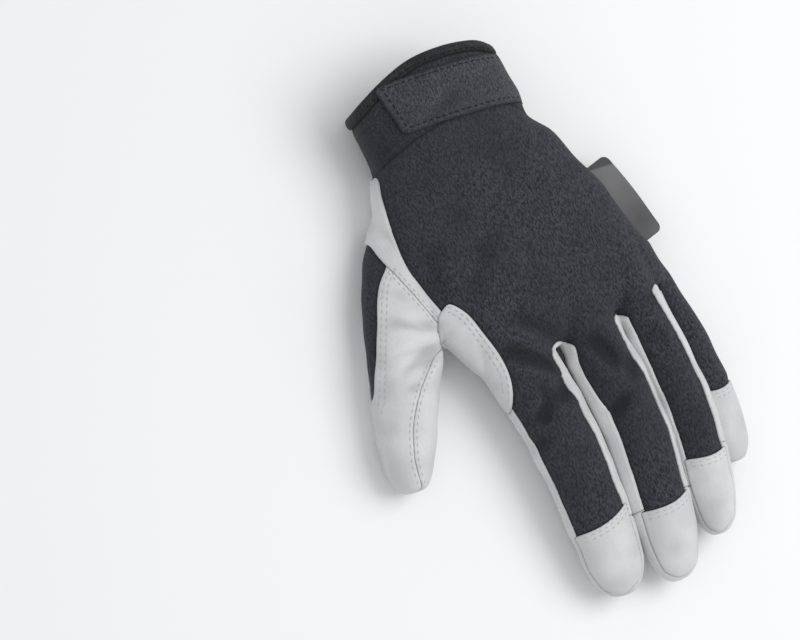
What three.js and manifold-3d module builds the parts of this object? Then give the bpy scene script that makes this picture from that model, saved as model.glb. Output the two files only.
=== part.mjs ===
// A left-hand mechanic glove, lying palm down: knit back, leather palm and
// fingertips, a bound cuff with a hook-and-loop strap, and a side tag.
// Millimetres. +X points to the thumb side, +Y to the fingertips, +Z up from
// the palm. The origin is on the flat underside of the palm.
import * as THREE from "three";
import { mergeVertices } from "three/addons/utils/BufferGeometryUtils.js";
import Module from "manifold-3d";

const wasm = await Module();
wasm.setup();

// Driving sizes: skin
const WALL = 1.8; // knit and leather
const GAP = 0.3; // between the edges of two sewn pieces

// Driving sizes: hand
const PALM_LENGTH = 100; // wrist seam to the finger roots
const WRIST_BACK = 60; // from the origin back to the wrist seam
const HAND_THICKNESS = 34; // palm to knuckles
const INDEX_LENGTH = 122; // finger root to tip, as the other three
const MIDDLE_LENGTH = 124.5;
const RING_LENGTH = 112.5;
const LITTLE_LENGTH = 87;
const INDEX_WIDTH = 29.6;
const MIDDLE_WIDTH = 26.4;
const RING_WIDTH = 20.8;
const LITTLE_WIDTH = 18.4;
const INDEX_THICKNESS = 23;
const MIDDLE_THICKNESS = 23.4;
const RING_THICKNESS = 21;
const LITTLE_THICKNESS = 18.4;
const INDEX_MIDDLE_GAP = 3.1;
const MIDDLE_RING_GAP = 1.6;
const LITTLE_TUCK = 2.2; // how far the little finger lies under the ring finger
const THUMB_LENGTH = 125; // along its middle line, from the heel of the hand
const THUMB_WIDTH = 33;
const THUMB_THICKNESS = 26;

// Driving sizes: cuff, strap and tag
const CUFF_LENGTH = 34;
const CUFF_WIDTH = 72;
const CUFF_HEIGHT = 45;
const BINDING_WIDTH = 4.5;
const BINDING_PROUD = 0.8;
const SLIT_LENGTH = 26;
const SLIT_WIDTH = 2.5;
const SLIT_HEIGHT = 11; // of the slit's lower edge
const STRAP_LENGTH = 60; // from the slit round to the free end, in plan
const STRAP_WIDTH = 21;
const STRAP_THICKNESS = 1.6;
const STRAP_CORNER = 4;
const TAG_LENGTH = 40;
const TAG_REACH = 13;
const TAG_THICKNESS = 2.5; // both layers
const TAG_SLOT = 0.5; // between the layers

// How finely the round sections are cut
const BODY_SIDES = 24;
const FINGER_SIDES = 14;
const THUMB_SIDES = 14;

// Derived places
const PALM_WIDTH = INDEX_WIDTH + MIDDLE_WIDTH + RING_WIDTH + LITTLE_WIDTH + INDEX_MIDDLE_GAP + MIDDLE_RING_GAP;
const palmX = (share) => share * PALM_WIDTH;
const palmY = (share) => share * PALM_LENGTH - WRIST_BACK;
const HEM_Y = palmY(0) - CUFF_LENGTH;
const ROOT_Y = palmY(0.8); // where finger lengths start
const FAR = 4 * PALM_LENGTH; // beyond every piece, for cutters

const lerp = (a, b, t) => a + (b - a) * t;
const clamp01 = (t) => Math.min(1, Math.max(0, t));

// A short table with named columns: one object for each row
function table(columns, rows) {
  const names = columns.split(" ");
  return rows.map((row) => Object.fromEntries(names.map((name, i) => [name, row[i]])));
}

// Sections of the palm: along is a share of its length, the two sides are
// shares of its width, under and top are shares of the hand's thickness, and
// skew turns the section's plane towards the forefinger.
const PALM_ROWS = table("along outer thumbSide under top skew", [
  [0.00, -0.115, 0.630, -0.02, 1.20, 0.00],
  [0.10, -0.205, 0.645, -0.06, 1.12, 0.00],
  [0.22, -0.262, 0.662, -0.09, 1.06, 0.00],
  [0.38, -0.340, 0.675, -0.10, 1.02, 0.03],
  [0.52, -0.375, 0.665, -0.08, 1.00, 0.06],
  [0.66, -0.405, 0.625, -0.05, 0.99, 0.10],
  [0.76, -0.430, 0.570, 0.09, 0.97, 0.14],
  [0.84, -0.445, 0.520, 0.19, 0.93, 0.17],
  [0.90, -0.450, 0.480, 0.28, 0.86, 0.19],
  [0.94, -0.440, 0.440, 0.38, 0.74, 0.20],
]);

// Sections of the cuff, from beyond the hem to the wrist: along is a share of
// its length back from the wrist, middle a share of the palm's width, width a
// share of the cuff's width, under and top shares of its height.
const CUFF_ROWS = table("along middle width under top", [
  [1.30, 0.295, 0.945, 0.02, 1.03],
  [0.88, 0.290, 0.960, 0.02, 1.02],
  [0.60, 0.280, 1.000, 0.015, 1.00],
  [0.30, 0.270, 1.030, 0.01, 0.96],
]);

// Sections of a finger: along is a share of its length, side and across are
// shares of its width, height is its middle's height as a share of the hand's
// thickness, and deep is a share of its own thickness.
const FINGER_COLUMNS = "along side across height deep";

// The four fingers from the outer side of the hand. Cap shares say where the
// cap's line meets the finger's two sides, and back shares how far above the
// finger's middle the knit back ends on them.
const FINGERS = [
  {
    name: "little", length: LITTLE_LENGTH, width: LITTLE_WIDTH, thickness: LITTLE_THICKNESS,
    capOuter: 0.61, capThumbSide: 0.61, backOuter: -0.30, backThumbSide: 0.45,
    rows: table(FINGER_COLUMNS, [
      [-0.15, 0.52, 0.80, 0.42, 1.10], [0.06, 0.30, 0.84, 0.31, 1.00], [0.28, 0.11, 0.95, 0.27, 1.00],
      [0.48, 0.02, 1.00, 0.27, 1.00], [0.68, 0.00, 1.00, 0.27, 0.99], [0.84, 0.02, 0.97, 0.27, 0.96],
      [0.93, 0.04, 0.80, 0.26, 0.80], [0.985, 0.05, 0.46, 0.26, 0.46],
    ]),
  },
  {
    name: "ring", length: RING_LENGTH, width: RING_WIDTH, thickness: RING_THICKNESS,
    capOuter: 0.693, capThumbSide: 0.702, backOuter: 0.66, backThumbSide: 0.30,
    rows: table(FINGER_COLUMNS, [
      [-0.13, 0.24, 1.15, 0.55, 1.20], [0.05, 0.22, 1.08, 0.57, 1.10], [0.14, 0.17, 1.06, 0.58, 1.04],
      [0.30, 0.04, 1.03, 0.58, 1.00], [0.50, -0.02, 1.03, 0.57, 1.00], [0.66, 0.01, 1.01, 0.54, 1.00],
      [0.79, 0.07, 0.98, 0.49, 0.97], [0.90, 0.13, 0.88, 0.43, 0.86], [0.965, 0.17, 0.64, 0.40, 0.62],
      [0.995, 0.18, 0.34, 0.39, 0.34],
    ]),
  },
  {
    name: "middle", length: MIDDLE_LENGTH, width: MIDDLE_WIDTH, thickness: MIDDLE_THICKNESS,
    capOuter: 0.723, capThumbSide: 0.747, backOuter: 0.68, backThumbSide: 0.24,
    rows: table(FINGER_COLUMNS, [
      [-0.12, 0.20, 1.05, 0.56, 1.20], [0.04, 0.18, 1.05, 0.59, 1.14], [0.16, 0.15, 1.00, 0.61, 1.05],
      [0.30, 0.06, 1.00, 0.62, 1.02], [0.48, 0.00, 1.00, 0.61, 0.99], [0.64, 0.02, 0.97, 0.56, 0.96],
      [0.79, 0.06, 0.92, 0.50, 0.92], [0.90, 0.10, 0.83, 0.44, 0.82], [0.965, 0.12, 0.62, 0.41, 0.61],
      [0.995, 0.13, 0.32, 0.40, 0.33],
    ]),
  },
  {
    name: "index", length: INDEX_LENGTH, width: INDEX_WIDTH, thickness: INDEX_THICKNESS,
    capOuter: 0.705, capThumbSide: 0.760, backOuter: 0.62, backThumbSide: 0.28,
    rows: table(FINGER_COLUMNS, [
      [-0.12, 0.42, 1.15, 0.55, 1.16], [0.04, 0.33, 1.13, 0.56, 1.12], [0.18, 0.22, 1.09, 0.57, 1.05],
      [0.33, 0.09, 1.03, 0.57, 1.00], [0.49, 0.00, 1.00, 0.56, 0.98], [0.66, -0.04, 0.94, 0.52, 0.95],
      [0.80, -0.07, 0.90, 0.46, 0.91], [0.91, -0.08, 0.80, 0.41, 0.80], [0.965, -0.08, 0.60, 0.38, 0.60],
      [0.995, -0.08, 0.31, 0.37, 0.32],
    ]),
  },
];
const [LITTLE, RING, MIDDLE, INDEX] = FINGERS;
MIDDLE.line = palmX(-0.065);
INDEX.line = MIDDLE.line + (MIDDLE_WIDTH + INDEX_WIDTH) / 2 + INDEX_MIDDLE_GAP;
RING.line = MIDDLE.line - (MIDDLE_WIDTH + RING_WIDTH) / 2 - MIDDLE_RING_GAP;
LITTLE.line = RING.line - (RING_WIDTH + LITTLE_WIDTH) / 2 + LITTLE_TUCK;

// The thumb's middle line starts in the heel of the hand: ahead and sideways
// are shares of its length.
const THUMB_ROOT = { x: palmX(0.53), y: palmY(0.16) };
const THUMB_ROWS = table("ahead sideways across height deep", [
  [0.00, 0.00, 0.44, 0.38, 0.62], [0.15, 0.06, 0.78, 0.43, 0.90], [0.31, 0.11, 0.99, 0.46, 1.02],
  [0.45, 0.155, 1.00, 0.47, 1.02], [0.59, 0.21, 0.90, 0.47, 0.98], [0.72, 0.256, 0.77, 0.46, 0.93],
  [0.825, 0.288, 0.66, 0.45, 0.88], [0.885, 0.300, 0.52, 0.43, 0.72], [0.928, 0.307, 0.32, 0.42, 0.46],
]);

const PALM_SQUARENESS = 2.35; // exponent of the rounded section
const ROUND = 2;

// A closed solid from points and triangles
function solidFrom(points, triangles) {
  const geometry = new THREE.BufferGeometry();
  geometry.setAttribute("position", new THREE.Float32BufferAttribute(points.flat(), 3));
  geometry.setIndex(triangles.flat());
  return solidOf(geometry);
}

function solidOf(geometry) {
  geometry.deleteAttribute("normal");
  geometry.deleteAttribute("uv");
  const merged = mergeVertices(geometry, 1e-4);
  return new wasm.Manifold(new wasm.Mesh({
    numProp: 3,
    vertProperties: new Float32Array(merged.attributes.position.array),
    triVerts: new Uint32Array(merged.index.array),
  }));
}

// A skin over a grid of points, rows by columns, that face down, closed by
// the same grid lifted flat to a height and by a wall all round
function slabOver(lines, height) {
  const columns = lines[0].length;
  const low = lines.flat();
  const points = [...low, ...low.map(([x, y]) => [x, y, height])];
  const top = low.length;
  const triangles = [];
  const quad = (a, b, c, d) => triangles.push([a, b, c], [a, c, d]);
  for (let i = 0; i + 1 < lines.length; i += 1) {
    for (let j = 0; j + 1 < columns; j += 1) {
      const a = i * columns + j;
      quad(a, a + columns, a + columns + 1, a + 1);
      quad(top + a, top + a + 1, top + a + columns + 1, top + a + columns);
    }
    const left = i * columns;
    const right = left + columns - 1;
    quad(left, top + left, top + left + columns, left + columns);
    quad(right, right + columns, top + right + columns, top + right);
  }
  for (let j = 0; j + 1 < columns; j += 1) {
    const back = (lines.length - 1) * columns + j;
    quad(j, j + 1, top + j + 1, top + j);
    quad(back, top + back, top + back + 1, back + 1);
  }
  return solidFrom(points, triangles);
}

// Rings of equal size joined into a tube, with a fan over each end
function tube(rings) {
  const sides = rings[0].length;
  const points = rings.flat();
  const triangles = [];
  const middleOf = (ring) => [0, 1, 2].map((axis) => ring.reduce((sum, p) => sum + p[axis], 0) / sides);
  const first = points.push(middleOf(rings[0])) - 1;
  const last = points.push(middleOf(rings[rings.length - 1])) - 1;
  const lastRing = (rings.length - 1) * sides;
  for (let k = 0; k < sides; k += 1) {
    const next = (k + 1) % sides;
    triangles.push([first, k, next], [last, lastRing + next, lastRing + k]);
    for (let a = 0; a < lastRing; a += sides) {
      triangles.push([a + k, a + k + sides, a + next], [a + next, a + k + sides, a + next + sides]);
    }
  }
  return solidFrom(points, triangles);
}

// A prism on a plan outline between two heights
function prism(outline, low, high) {
  const shape = new THREE.Shape(outline.map(([x, y]) => new THREE.Vector2(x, y)));
  const geometry = new THREE.ExtrudeGeometry(shape, { depth: high - low, bevelEnabled: false });
  geometry.translate(0, 0, low);
  return solidOf(geometry);
}

// The outline moved outwards at each corner by a distance
function widened(outline, distance) {
  const area = THREE.ShapeUtils.area(outline.map(([x, y]) => new THREE.Vector2(x, y)));
  const count = outline.length;
  const sharpest = 0.6; // keeps a narrow corner's tip short
  return outline.map(([x, y], i) => {
    const [beforeX, beforeY] = outline[(i + count - 1) % count];
    const [afterX, afterY] = outline[(i + 1) % count];
    const one = new THREE.Vector2(y - beforeY, beforeX - x).normalize();
    const two = new THREE.Vector2(afterY - y, x - afterX).normalize();
    const miter = one.add(two);
    const scale = (2 * distance * Math.sign(area)) / Math.max(miter.lengthSq(), sharpest);
    return [x + miter.x * scale, y + miter.y * scale];
  });
}

// Sections: middle point, half sizes, heading in plan, skew of the plane, and
// how much the section moves ahead when the skin is grown
function palmSections() {
  const cuff = CUFF_ROWS.map((row) => ({
    x: palmX(row.middle), y: palmY(0) - row.along * CUFF_LENGTH, z: CUFF_HEIGHT * (row.top + row.under) / 2,
    across: CUFF_WIDTH * row.width / 2, deep: CUFF_HEIGHT * (row.top - row.under) / 2,
    heading: 0, skew: 0, ends: 0,
  }));
  const palm = PALM_ROWS.map((row) => ({
    x: palmX(row.outer + row.thumbSide) / 2, y: palmY(row.along), z: HAND_THICKNESS * (row.top + row.under) / 2,
    across: palmX(row.thumbSide - row.outer) / 2, deep: HAND_THICKNESS * (row.top - row.under) / 2,
    heading: 0, skew: row.skew, ends: clamp01((row.along - 0.8) / 0.14),
  }));
  return [...cuff, ...palm];
}

function fingerSections(finger) {
  return finger.rows.map((row) => ({
    x: finger.line + row.side * finger.width, y: ROOT_Y + row.along * finger.length,
    z: row.height * HAND_THICKNESS,
    across: finger.width * row.across / 2, deep: finger.thickness * row.deep / 2,
    heading: 0, skew: 0, ends: clamp01((row.along - 0.7) / 0.3),
  }));
}

function thumbSections() {
  const points = THUMB_ROWS.map((row) => ({
    x: THUMB_ROOT.x + row.sideways * THUMB_LENGTH, y: THUMB_ROOT.y + row.ahead * THUMB_LENGTH,
  }));
  return THUMB_ROWS.map((row, i) => {
    const before = points[Math.max(i - 1, 0)];
    const after = points[Math.min(i + 1, points.length - 1)];
    return {
      ...points[i], z: row.height * THUMB_THICKNESS,
      across: THUMB_WIDTH * row.across / 2, deep: THUMB_THICKNESS * row.deep / 2,
      heading: Math.atan2(after.x - before.x, after.y - before.y), skew: 0,
      ends: clamp01((row.ahead - 0.65) / 0.28),
    };
  });
}

// One rounded section as a ring of points, grown outwards and kept above a floor
function ring(section, sides, squareness, grow, floor) {
  const rounded = (value) => Math.sign(value) * Math.abs(value) ** (2 / squareness);
  return Array.from({ length: sides }, (_, k) => {
    const angle = (2 * Math.PI * (k + 0.5)) / sides;
    const out = (section.across + grow) * rounded(Math.cos(angle));
    const up = section.z + (section.deep + grow) * rounded(Math.sin(angle));
    const ahead = section.skew * out + section.ends * grow;
    return [
      section.x + out * Math.cos(section.heading) + ahead * Math.sin(section.heading),
      section.y - out * Math.sin(section.heading) + ahead * Math.cos(section.heading),
      Math.max(up, floor),
    ];
  });
}

// Cuff and palm, flat where they rest, and the whole hand with its fingers
function cuffAndPalm(grow) {
  const floor = Math.max(0, -grow);
  return tube(palmSections().map((section) => ring(section, BODY_SIDES, PALM_SQUARENESS, grow, floor)));
}

function fingerSolid(finger, grow, floor) {
  return tube(fingerSections(finger).map((section) => ring(section, FINGER_SIDES, ROUND, grow, floor)));
}

function hand(grow) {
  const floor = Math.max(0, -grow);
  const thumb = tube(thumbSections().map((section) => ring(section, THUMB_SIDES, ROUND, grow, floor)));
  const palmAndThumb = cuffAndPalm(grow).add(thumb);
  return FINGERS.reduce((whole, finger) => whole.add(fingerSolid(finger, grow, floor)), palmAndThumb);
}

// Seam lines in plan, smooth through a few points given as shares of the
// palm's width and length
function seam(steps, points) {
  const curve = new THREE.SplineCurve(points.map(([x, y]) => new THREE.Vector2(palmX(x), palmY(y))));
  return curve.getPoints(steps).map((p) => [p.x, p.y]);
}

const PATCH_START = [0.575, 0.68]; // where strip, patch and back meet
const CROTCH = [0.550, 0.795]; // between the thumb and the forefinger
const PALM_FORK = [0.20, 0.31]; // where the three seams of the palm meet
const CUFF_SEAM = seam(8, [
  [0.75, 0.15], [0.63, 0.06], [0.51, 0.01], [0.40, -0.02], [0.27, -0.05], [0.14, -0.06], [0.05, -0.05],
  [-0.03, -0.03], [-0.10, 0.01], [-0.22, 0.08],
]);
const BACK_EDGE = seam(7, [
  [0.640, -0.20], [0.645, 0.08], [0.650, 0.20], [0.648, 0.32], [0.640, 0.46], [0.620, 0.54], [0.600, 0.61],
  PATCH_START,
]);
const PATCH_EDGE = seam(8, [
  PATCH_START, [0.530, 0.68], [0.480, 0.74], [0.450, 0.83], [0.420, 0.94], [0.410, 1.04], [0.430, 1.15],
  [0.470, 1.24], [0.600, 1.34],
]);
const STRIP_EDGE = seam(7, [
  [0.80, 0.06], [0.735, 0.22], [0.710, 0.38], [0.680, 0.50], [0.640, 0.61], [0.600, 0.69], [0.568, 0.73],
]);
const THUMB_SEAM = seam(8, [
  CROTCH, [0.590, 0.815], [0.660, 0.85], [0.760, 0.94], [0.830, 1.03], [0.880, 1.13], [0.905, 1.24],
  [0.890, 1.40],
]);
const CROTCH_LINE = seam(5, [CROTCH, [0.565, 0.90], [0.600, 1.04], [0.660, 1.20], [0.760, 1.40]]);
const GUSSET_EDGE = seam(8, [
  [0.640, 0.25], [0.685, 0.39], [0.775, 0.50], [0.845, 0.66], [0.915, 0.83], [0.965, 0.95], [1.04, 1.04],
]);
const FINGER_SEAM = seam(11, [
  [-0.70, 0.63], [-0.50, 0.66], [-0.46, 0.74], [-0.40, 0.79], [-0.33, 0.83], [-0.26, 0.85], [-0.10, 0.87],
  [0.08, 0.89], [0.20, 0.92], [0.28, 0.98], [0.37, 1.06], [0.46, 1.14], [0.60, 1.20],
]);
const HEEL_SEAM = seam(6, [
  [-0.70, 0.36], [-0.40, 0.33], [-0.30, 0.29], [-0.16, 0.27], [0.00, 0.27], PALM_FORK,
]);
const THUMB_ROOT_SEAM = seam(6, [PALM_FORK, [0.36, 0.38], [0.50, 0.47], [0.58, 0.58], [0.575, 0.70], CROTCH]);
const HEEL_SIDE_SEAM = seam(6, [
  PALM_FORK, [0.22, 0.23], [0.26, 0.14], [0.33, 0.07], [0.42, -0.02], [0.50, -0.15],
]);

// The hem in plan: across is a share of the cuff's width from its middle, and
// ahead a share of its length from the hem
const HEM_MIDDLE = palmX(0.29);
const HEM_POINTS = [
  [-0.9, 0.24], [-0.47, 0.09], [-0.30, 0.02], [-0.08, 0.0], [0.12, 0.04], [0.30, 0.17], [0.46, 0.34],
  [0.62, 0.54], [0.9, 0.9],
];
const HEM = new THREE.SplineCurve(HEM_POINTS.map(([across, ahead]) =>
  new THREE.Vector2(HEM_MIDDLE + across * CUFF_WIDTH, HEM_Y + ahead * CUFF_LENGTH)))
  .getPoints(10).map((p) => [p.x, p.y]);

// Where a finger is at one distance along the hand
function fingerAt(finger, y) {
  const sections = fingerSections(finger);
  const next = sections.findIndex((section) => section.y >= y);
  if (next === 0) return sections[0];
  if (next < 0) return sections[sections.length - 1];
  const [a, b] = [sections[next - 1], sections[next]];
  const t = (y - a.y) / (b.y - a.y);
  const spot = {};
  for (const key of ["x", "z", "across", "deep"]) spot[key] = lerp(a[key], b[key], t);
  return spot;
}

// Where one finger's side gives way to the next, clear of the one that lies over
function stepBetween(left, right) {
  const gapMiddle = (left.x + left.across + right.x - right.across) / 2;
  return Math.min(gapMiddle, right.x - right.across - GAP);
}

// One line across the hand at a distance along it: places and heights where a
// lengthwise seam crosses the fingers. Over the palm the heights fall from
// the thumb side to the outer side.
const PALM_SEAM_OUTER = 0.24; // shares of the hand's thickness
const PALM_SEAM_THUMB = 0.60;
const SIDE_START = 0.3; // share of a finger's half width where its side begins
function seamLine(y, shares) {
  const spots = FINGERS.map((finger) => fingerAt(finger, y));
  const corners = spots.flatMap((spot, i) => {
    const [outerShare, thumbShare] = shares(FINGERS[i]);
    const left = i === 0 ? spot.x - 2 * spot.across : stepBetween(spots[i - 1], spot) + GAP / 3;
    const right = i + 1 < spots.length ? stepBetween(spot, spots[i + 1]) - GAP / 3 : palmX(0.75);
    const low = spot.z + outerShare * spot.deep;
    const high = spot.z + thumbShare * spot.deep;
    return [[left, low], [spot.x - spot.across * SIDE_START, low], [spot.x + spot.across * SIDE_START, high],
      [right, high]];
  });
  const lineWithEnds = [[-PALM_WIDTH, corners[0][1]], ...corners, [1.5 * PALM_WIDTH, corners.at(-1)[1]]];
  const onFingers = clamp01((y - palmY(0.72)) / (0.14 * PALM_LENGTH));
  return lineWithEnds.map(([x, z]) => {
    const rise = clamp01(x / PALM_WIDTH + 0.4);
    return [x, y, lerp(HAND_THICKNESS * lerp(PALM_SEAM_OUTER, PALM_SEAM_THUMB, rise), z, onFingers)];
  });
}

// Everything above a seam that runs along the fingers
const SEAM_STATIONS = [-1.0, 0.72, 0.86, 0.98, 1.12, 1.30, 1.55, 1.80, 2.2];
function above(shares, lift) {
  const lines = SEAM_STATIONS.map((share) => seamLine(palmY(share), shares));
  return slabOver(lines.map((line) => line.map(([x, y, z]) => [x, y, z + lift])), FAR);
}
const BACK_SEAM = (finger) => [finger.backOuter, finger.backThumbSide];
const FRONT_SEAM = () => [-0.40, -0.40];
const CAP_DROP = 0.12; // how much lower than the back's edge a cap's own edge runs
const CAP_SEAM = (finger) => [finger.backOuter - CAP_DROP, finger.backThumbSide - CAP_DROP];

// The skin of the hand, from which each sewn piece is cut in turn
const LOW = -HAND_THICKNESS;
const HIGH = 2 * HAND_THICKNESS + CUFF_HEIGHT;
const pieces = {};
let skin = hand(0).subtract(hand(-WALL));

// Takes one piece out of the skin and leaves a seam gap around it. Its bounds
// are functions of how far the gap widens them.
function take(name, outline, { low = LOW, high = HIGH, within = [], without = [] } = {}) {
  const region = (gap) => {
    const block = prism(gap > 0 ? widened(outline, gap) : outline, low - gap, high + gap);
    const inside = within.reduce((solid, bound) => solid.intersect(bound(gap)), block);
    return without.reduce((solid, bound) => solid.subtract(bound(gap)), inside);
  };
  pieces[name] = skin.intersect(region(0));
  skin = skin.subtract(region(GAP));
}

// Hem binding round the opening and the slit
const wristward = (curve) => [...curve, [FAR, curve.at(-1)[1]], [FAR, -FAR], [-FAR, -FAR], [-FAR, curve[0][1]]];
const bindingEdge = HEM.map(([x, y]) => [x, y + BINDING_WIDTH]);
const beyondHem = prism(wristward(HEM), LOW, HIGH);

function slitBlock(border) {
  const end = HEM_Y + SLIT_LENGTH + border;
  const outline = [[palmX(0.1), -FAR], [palmX(0.1), end], [-FAR, end], [-FAR, -FAR]];
  return prism(outline, SLIT_HEIGHT - border, SLIT_HEIGHT + SLIT_WIDTH + border);
}

const hemRing = cuffAndPalm(BINDING_PROUD).subtract(cuffAndPalm(-WALL - BINDING_PROUD));
const slitRing = cuffAndPalm(0).subtract(cuffAndPalm(-WALL - BINDING_PROUD));
pieces.hem_binding = hemRing.intersect(prism(wristward(bindingEdge), LOW, HIGH))
  .add(slitRing.intersect(slitBlock(BINDING_WIDTH)))
  .subtract(beyondHem)
  .subtract(slitBlock(0));
skin = skin.subtract(prism(widened(wristward(bindingEdge), GAP), LOW, HIGH))
  .subtract(slitBlock(BINDING_WIDTH + GAP));

// Cuff
take("cuff_band", wristward(CUFF_SEAM.toReversed()));

// Closure strap, on the back of the cuff from the slit to its free end
function strapOutline() {
  const root = palmX(-0.10);
  const near = palmY(0) - 0.12 * CUFF_LENGTH;
  const far = near - STRAP_WIDTH;
  const free = root + STRAP_LENGTH;
  const corner = (x, y, turn) => [0, 0.5, 1].map((t) => {
    const angle = turn + (t * Math.PI) / 2;
    return [x + STRAP_CORNER * Math.sin(angle), y + STRAP_CORNER * Math.cos(angle)];
  });
  return [
    [root - CUFF_WIDTH, near],
    ...corner(free - STRAP_CORNER, near - STRAP_CORNER, 0),
    ...corner(free - STRAP_CORNER, far + STRAP_CORNER, Math.PI / 2),
    [root - CUFF_WIDTH, far],
  ];
}
const strapShell = cuffAndPalm(GAP + STRAP_THICKNESS).subtract(cuffAndPalm(GAP));
pieces.closure_strap = strapShell.intersect(prism(strapOutline(), SLIT_HEIGHT, HIGH));

// Fingertip caps: the back half of each tip, cut along a line that leans
for (const finger of FINGERS) {
  const outerY = ROOT_Y + finger.capOuter * finger.length;
  const thumbY = ROOT_Y + finger.capThumbSide * finger.length;
  const tipY = ROOT_Y + 1.1 * finger.length;
  const middle = fingerAt(finger, thumbY);
  const reach = 1.5 * middle.across;
  const outline = [
    [middle.x - reach, tipY], [middle.x - reach, lerp(outerY, thumbY, -0.25)],
    [middle.x, lerp(outerY, thumbY, 0.7)],
    [middle.x + reach, lerp(outerY, thumbY, 1.1)], [middle.x + reach, tipY],
  ];
  const around = fingerSolid(finger, GAP / 2, -GAP);
  take(`cap_${finger.name}`, outline, { within: [(gap) => above(CAP_SEAM, -gap), () => around] });
}

// Fourchettes: a strip round each crotch and up both facing finger sides
const CROTCH_STARTS = [0.80, 0.86, 0.92]; // shares of the palm's length
CROTCH_STARTS.forEach((startShare, i) => {
  const [left, right] = [FINGERS[i], FINGERS[i + 1]];
  const start = palmY(startShare);
  const end = ROOT_Y + Math.max(left.capThumbSide * left.length, right.capOuter * right.length);
  const line = (finger, inset) => [0, 0.2, 0.4, 0.6, 0.8, 1].map((t) => {
    const y = lerp(start, end, t);
    return [fingerAt(finger, y).x + inset * finger.width, y];
  });
  const outline = [...line(left, 0.12), ...line(right, -0.12).reverse()];
  take(`fourchette_${left.name}_${right.name}`, outline, {
    within: [(gap) => above(FRONT_SEAM, -gap)],
    without: [(gap) => above(BACK_SEAM, gap)],
  });
});

// Patch on the forefinger's knuckle, strip beside the back, then the knit back
take("index_patch", [...PATCH_EDGE, ...CROTCH_LINE.toReversed()], { low: 0.36 * HAND_THICKNESS });
take("side_strip", [
  ...BACK_EDGE, ...STRIP_EDGE.toReversed(), [palmX(1), palmY(0.06)], [palmX(1), palmY(-0.2)],
], { low: 0.26 * HAND_THICKNESS });
take("back_panel", [
  ...BACK_EDGE, [palmX(PATCH_START[0]), palmY(1.30)], [PALM_WIDTH, palmY(1.32)], [PALM_WIDTH, FAR],
  [-PALM_WIDTH, FAR], [-PALM_WIDTH, HEM_Y],
], { within: [(gap) => above(BACK_SEAM, -gap)] });

// Thumb: gusset on its outer side, upper panel, and the front with the ball of the thumb
take("thumb_gusset", [...GUSSET_EDGE, [palmX(1.2), palmY(1.04)], [palmX(1.2), palmY(0.25)]],
  { low: 0.10 * THUMB_THICKNESS, high: 0.86 * THUMB_THICKNESS });
take("thumb_back", [...STRIP_EDGE, ...THUMB_SEAM, [palmX(1.3), palmY(1.5)], [palmX(1.3), palmY(0.06)]],
  { low: 0.42 * THUMB_THICKNESS });
take("thumb_front", [...THUMB_ROOT_SEAM, ...CROTCH_LINE.slice(1), [palmX(1.4), palmY(1.6)],
  [palmX(1.4), palmY(-0.2)], ...HEEL_SIDE_SEAM.toReversed()]);

// Palm: heel, centre, and the finger fronts with the upper palm
take("heel_panel", [...HEEL_SEAM, ...HEEL_SIDE_SEAM.slice(1), [-PALM_WIDTH, palmY(-0.2)]]);
take("palm_centre", [...HEEL_SEAM, ...THUMB_ROOT_SEAM.slice(1), ...FINGER_SEAM.toReversed()],
  { high: 0.26 * HAND_THICKNESS });
pieces.palm_panel = skin;

// Side tag: tape folded double, its cut ends sewn into the outer side seam
const TAG_START = new THREE.Vector2(palmX(-0.30), palmY(0.29)); // on the side seam, wrist end
const TAG_TOWARDS = new THREE.Vector2(palmX(-0.42), palmY(0.66));
function sideTag() {
  const height = 0.42 * HAND_THICKNESS;
  const along = TAG_TOWARDS.clone().sub(TAG_START).normalize();
  const out = new THREE.Vector2(-along.y, along.x);
  const block = (from, to, reach, thickness) => {
    const corners = [[from, -TAG_REACH], [to, -TAG_REACH], [to, reach], [from, reach]];
    const outline = corners.map(([a, b]) => {
      const corner = TAG_START.clone().addScaledVector(along, a).addScaledVector(out, b);
      return [corner.x, corner.y];
    });
    return prism(outline, height - thickness / 2, height + thickness / 2);
  };
  const fold = (TAG_THICKNESS - TAG_SLOT) / 2;
  return block(0, TAG_LENGTH, TAG_REACH, TAG_THICKNESS)
    .subtract(block(-GAP, TAG_LENGTH + GAP, TAG_REACH - fold, TAG_SLOT))
    .subtract(cuffAndPalm(GAP));
}
pieces.side_tag = sideTag();

// The largest closed body of a solid, without the offcuts that a cut can leave
function mainBody(solid) {
  const { vertProperties, triVerts } = solid.getMesh();
  const parent = Array.from({ length: vertProperties.length / 3 }, (_, i) => i);
  const find = (i) => {
    let at = i;
    while (parent[at] !== at) at = parent[at];
    return at;
  };
  for (let t = 0; t < triVerts.length; t += 3) {
    for (const k of [1, 2]) parent[find(triVerts[t + k])] = find(triVerts[t]);
  }
  const counts = new Map();
  for (const vertex of triVerts) counts.set(find(vertex), (counts.get(find(vertex)) ?? 0) + 1);
  const [main] = [...counts].reduce((best, entry) => (entry[1] > best[1] ? entry : best));
  const kept = [];
  for (let t = 0; t < triVerts.length; t += 3) {
    if (find(triVerts[t]) === main) kept.push(triVerts[t], triVerts[t + 1], triVerts[t + 2]);
  }
  const geometry = new THREE.BufferGeometry();
  geometry.setAttribute("position", new THREE.Float32BufferAttribute(vertProperties, 3));
  geometry.setIndex(kept);
  return mergeVertices(geometry, 1e-4);
}

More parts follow.
